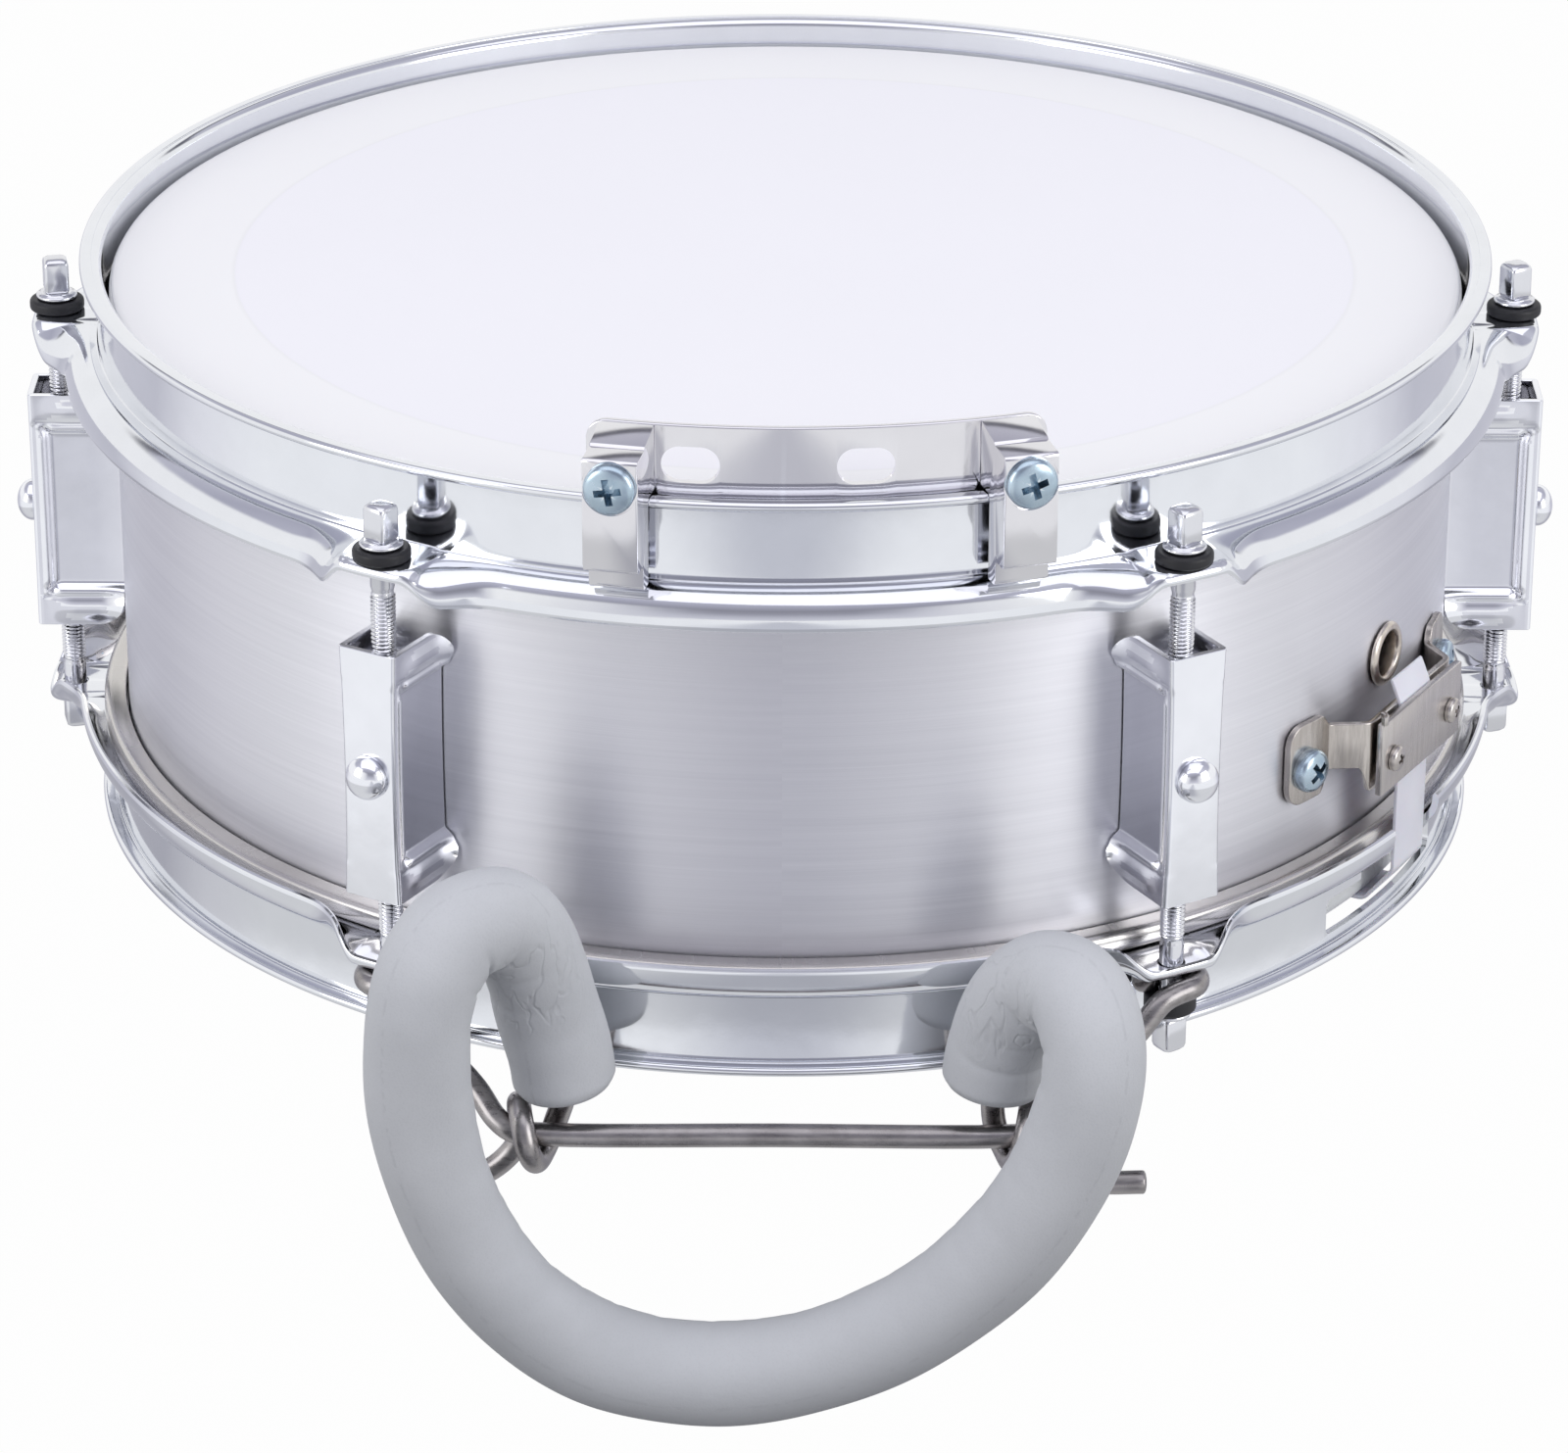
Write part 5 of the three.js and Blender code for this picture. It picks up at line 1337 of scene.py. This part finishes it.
# Stage
def camera():
    """The photograph's camera, fitted to the drum's rim, lugs and rods."""
    focal_pixels, photo_width, distance = 6310.7, 1600, 1.6946
    pitch, roll, turn = (math.radians(a) for a in (24.758, 0.161, 0.144))
    data = bpy.data.cameras.new("camera")
    data.sensor_width = 36
    data.lens = focal_pixels / photo_width * data.sensor_width
    data.clip_start, data.clip_end = 0.05, 50
    data.dof.use_dof = False
    ahead = Vector((0, math.cos(pitch), -math.sin(pitch)))
    level = Vector((1, 0, 0))
    up = level.cross(ahead)
    right = level * math.cos(roll) + up * math.sin(roll)
    above = up * math.cos(roll) - level * math.sin(roll)
    basis = Matrix((right, above, -ahead)).transposed().to_4x4()
    basis.translation = Vector((-0.00003, 0, -0.1365)) - ahead * distance
    cam = linked("camera", data)
    cam.matrix_world = Matrix.Rotation(turn, 4, "Z") @ basis
    bpy.context.scene.camera = cam


# Name, place, target, size and watts of each soft lamp
LAMPS = (
    ("top", (-0.1, -0.4, 1.7), (0, 0, 0), (2.6, 2.0), 11.6),
    ("front_left", (-1.95, -1.1, 0.65), (0, 0, -0.1), (1.2, 1.4), 10.6),
    ("front_right", (1.75, -1.25, 0.65), (0, 0, -0.1), (1.2, 1.4), 12.6),
)


def lights():
    for name, place, target, size, watts in LAMPS:
        data = bpy.data.lights.new(name, "AREA")
        data.shape = "RECTANGLE"
        data.size, data.size_y = size
        data.energy = watts
        obj = linked(name, data)
        obj.location = place
        obj.rotation_mode = "QUATERNION"
        obj.rotation_quaternion = (Vector(target) - Vector(place)).to_track_quat("-Z", "Y")


def tones(n, value, *stops):
    """A ramp of cool greys: position, red and green, blue."""
    return n.ramp(value, [(at, (grey, grey, blue)) for at, grey, blue in stops])


def bearing_from_front(n, x, y):
    """How far round from the front a place lies: 0 in front, 1 behind."""
    return n.math("DIVIDE", n.math("ARCTAN2", n.math("ABSOLUTE", x), n.math("MULTIPLY", y, -1.0)), math.pi)


def floor_paper(n):
    """Pale paper: white to the camera, and as bright as the studio's floor in what the chrome mirrors."""
    path = n.add("ShaderNodeLightPath")
    camera_ray = path.outputs["Is Camera Ray"]
    seen = n.math("MAXIMUM", n.math("MAXIMUM", camera_ray, path.outputs["Is Glossy Ray"]),
                  path.outputs["Is Transmission Ray"])
    place = n.coords()
    matt = n.add("ShaderNodeBsdfDiffuse", Color=n.covered(
        (0.20, 0.20, 0.20), (n.noise(place, 60.0, 3.0), 0.3, 0.7, 1.0, (0.23, 0.23, 0.23))))
    x, y, _ = n.xyz(place)
    paper = n.ramp(bearing_from_front(n, x, y), (
        (0.0, (0.97, 0.98, 1.0)), (0.50, (0.97, 0.98, 1.0)), (0.60, (0.86, 0.86, 0.91)),
        (0.68, (0.60, 0.60, 0.67)), (0.84, (0.64, 0.64, 0.71)), (1.0, (0.84, 0.85, 0.89))))
    ahead = n.remap(y, -0.6, -0.3, 1.0, 0.0, True)
    centre = n.remap(n.math("ABSOLUTE", x), 0.06, 0.52, 1.0, 0.0, True)
    paper = n.mix(n.math("MULTIPLY", ahead, centre), paper, (0.63, 0.64, 0.70))
    # painted shadow: the floor darker near the drum in what the metal mirrors
    paper = n.mix(n.remap(n.length(x, y), 1.20, 1.34, 0.74, 1.0, True), (0.0, 0.0, 0.0), paper)
    glow = n.add("ShaderNodeEmission", Strength=1.0, Color=n.mix(camera_ray, paper, WHITE))
    both = n.add("ShaderNodeMixShader")
    for index, value in enumerate((n.math("MULTIPLY", seen, 0.985), matt.outputs[0], glow.outputs[0])):
        n.put(both.inputs[index], value)
    n.add("ShaderNodeOutputMaterial", Surface=both.outputs[0])


def floor():
    size, low = 9.0, -0.62
    data = bpy.data.meshes.new("floor")
    data.from_pydata([(-size, -size, low), (size, -size, low), (size, size, low), (-size, size, low)], [],
                     [(0, 1, 2, 3)])
    data.materials.append(material(floor_paper, "floor_paper"))
    linked("floor", data)


def sky():
    """The studio: a pale wall all round, a dark ceiling behind and a broad white one over the camera."""
    world = bpy.data.worlds.new("studio")
    bpy.context.scene.world = world
    world.use_nodes = True
    n = Nodes(world.node_tree)
    x, y, z = n.xyz(n.add("ShaderNodeTexCoord").outputs["Generated"])
    ceiling = tones(
        n, n.math("DIVIDE", n.math("ARCTAN2", z, y), math.pi),
        (0.0, 1.0, 1.0), (0.185, 1.0, 1.0), (0.20, 0.14, 0.17), (0.215, 0.16, 0.19), (0.23, 0.58, 0.66),
        (0.34, 0.46, 0.55), (0.50, 0.52, 0.61), (0.60, 0.60, 0.69), (0.66, 0.62, 0.71), (0.73, 0.50, 0.60),
        (0.78, 0.42, 0.50), (0.84, 0.30, 0.35), (0.89, 0.36, 0.42), (0.95, 0.56, 0.63), (1.0, 0.70, 0.77))
    wall = tones(n, bearing_from_front(n, x, y), (0.0, 0.62, 0.69), (0.10, 0.66, 0.73), (0.22, 1.0, 1.0),
                 (0.58, 0.98, 0.99), (1.0, 1.0, 1.0))
    belt = n.remap(z, 0.42, 0.55, 1.0, 0.0, True)
    beside = n.remap(n.math("ABSOLUTE", x), 0.15, 0.45, 0.0, 1.0, True)
    studio = n.mix(n.math("MULTIPLY", belt, beside), ceiling, wall)
    colour = n.mix(n.add("ShaderNodeLightPath").outputs["Is Camera Ray"], studio, WHITE)
    back = n.add("ShaderNodeBackground", Strength=1.0, Color=colour)
    n.add("ShaderNodeOutputWorld", Surface=back.outputs[0])


for build in (shell, heads, flesh_hoops, hoops, lugs, rods, sling_plate, clamps, leg_rest, butt_bracket,
              butt_plate, snare_strips, vent, strainer_base, strainer_lever, strainer_slide, strainer_knob,
              snare_wires, camera, floor, sky, lights):
    build()

bpy.context.scene.view_settings.view_transform = "Standard"
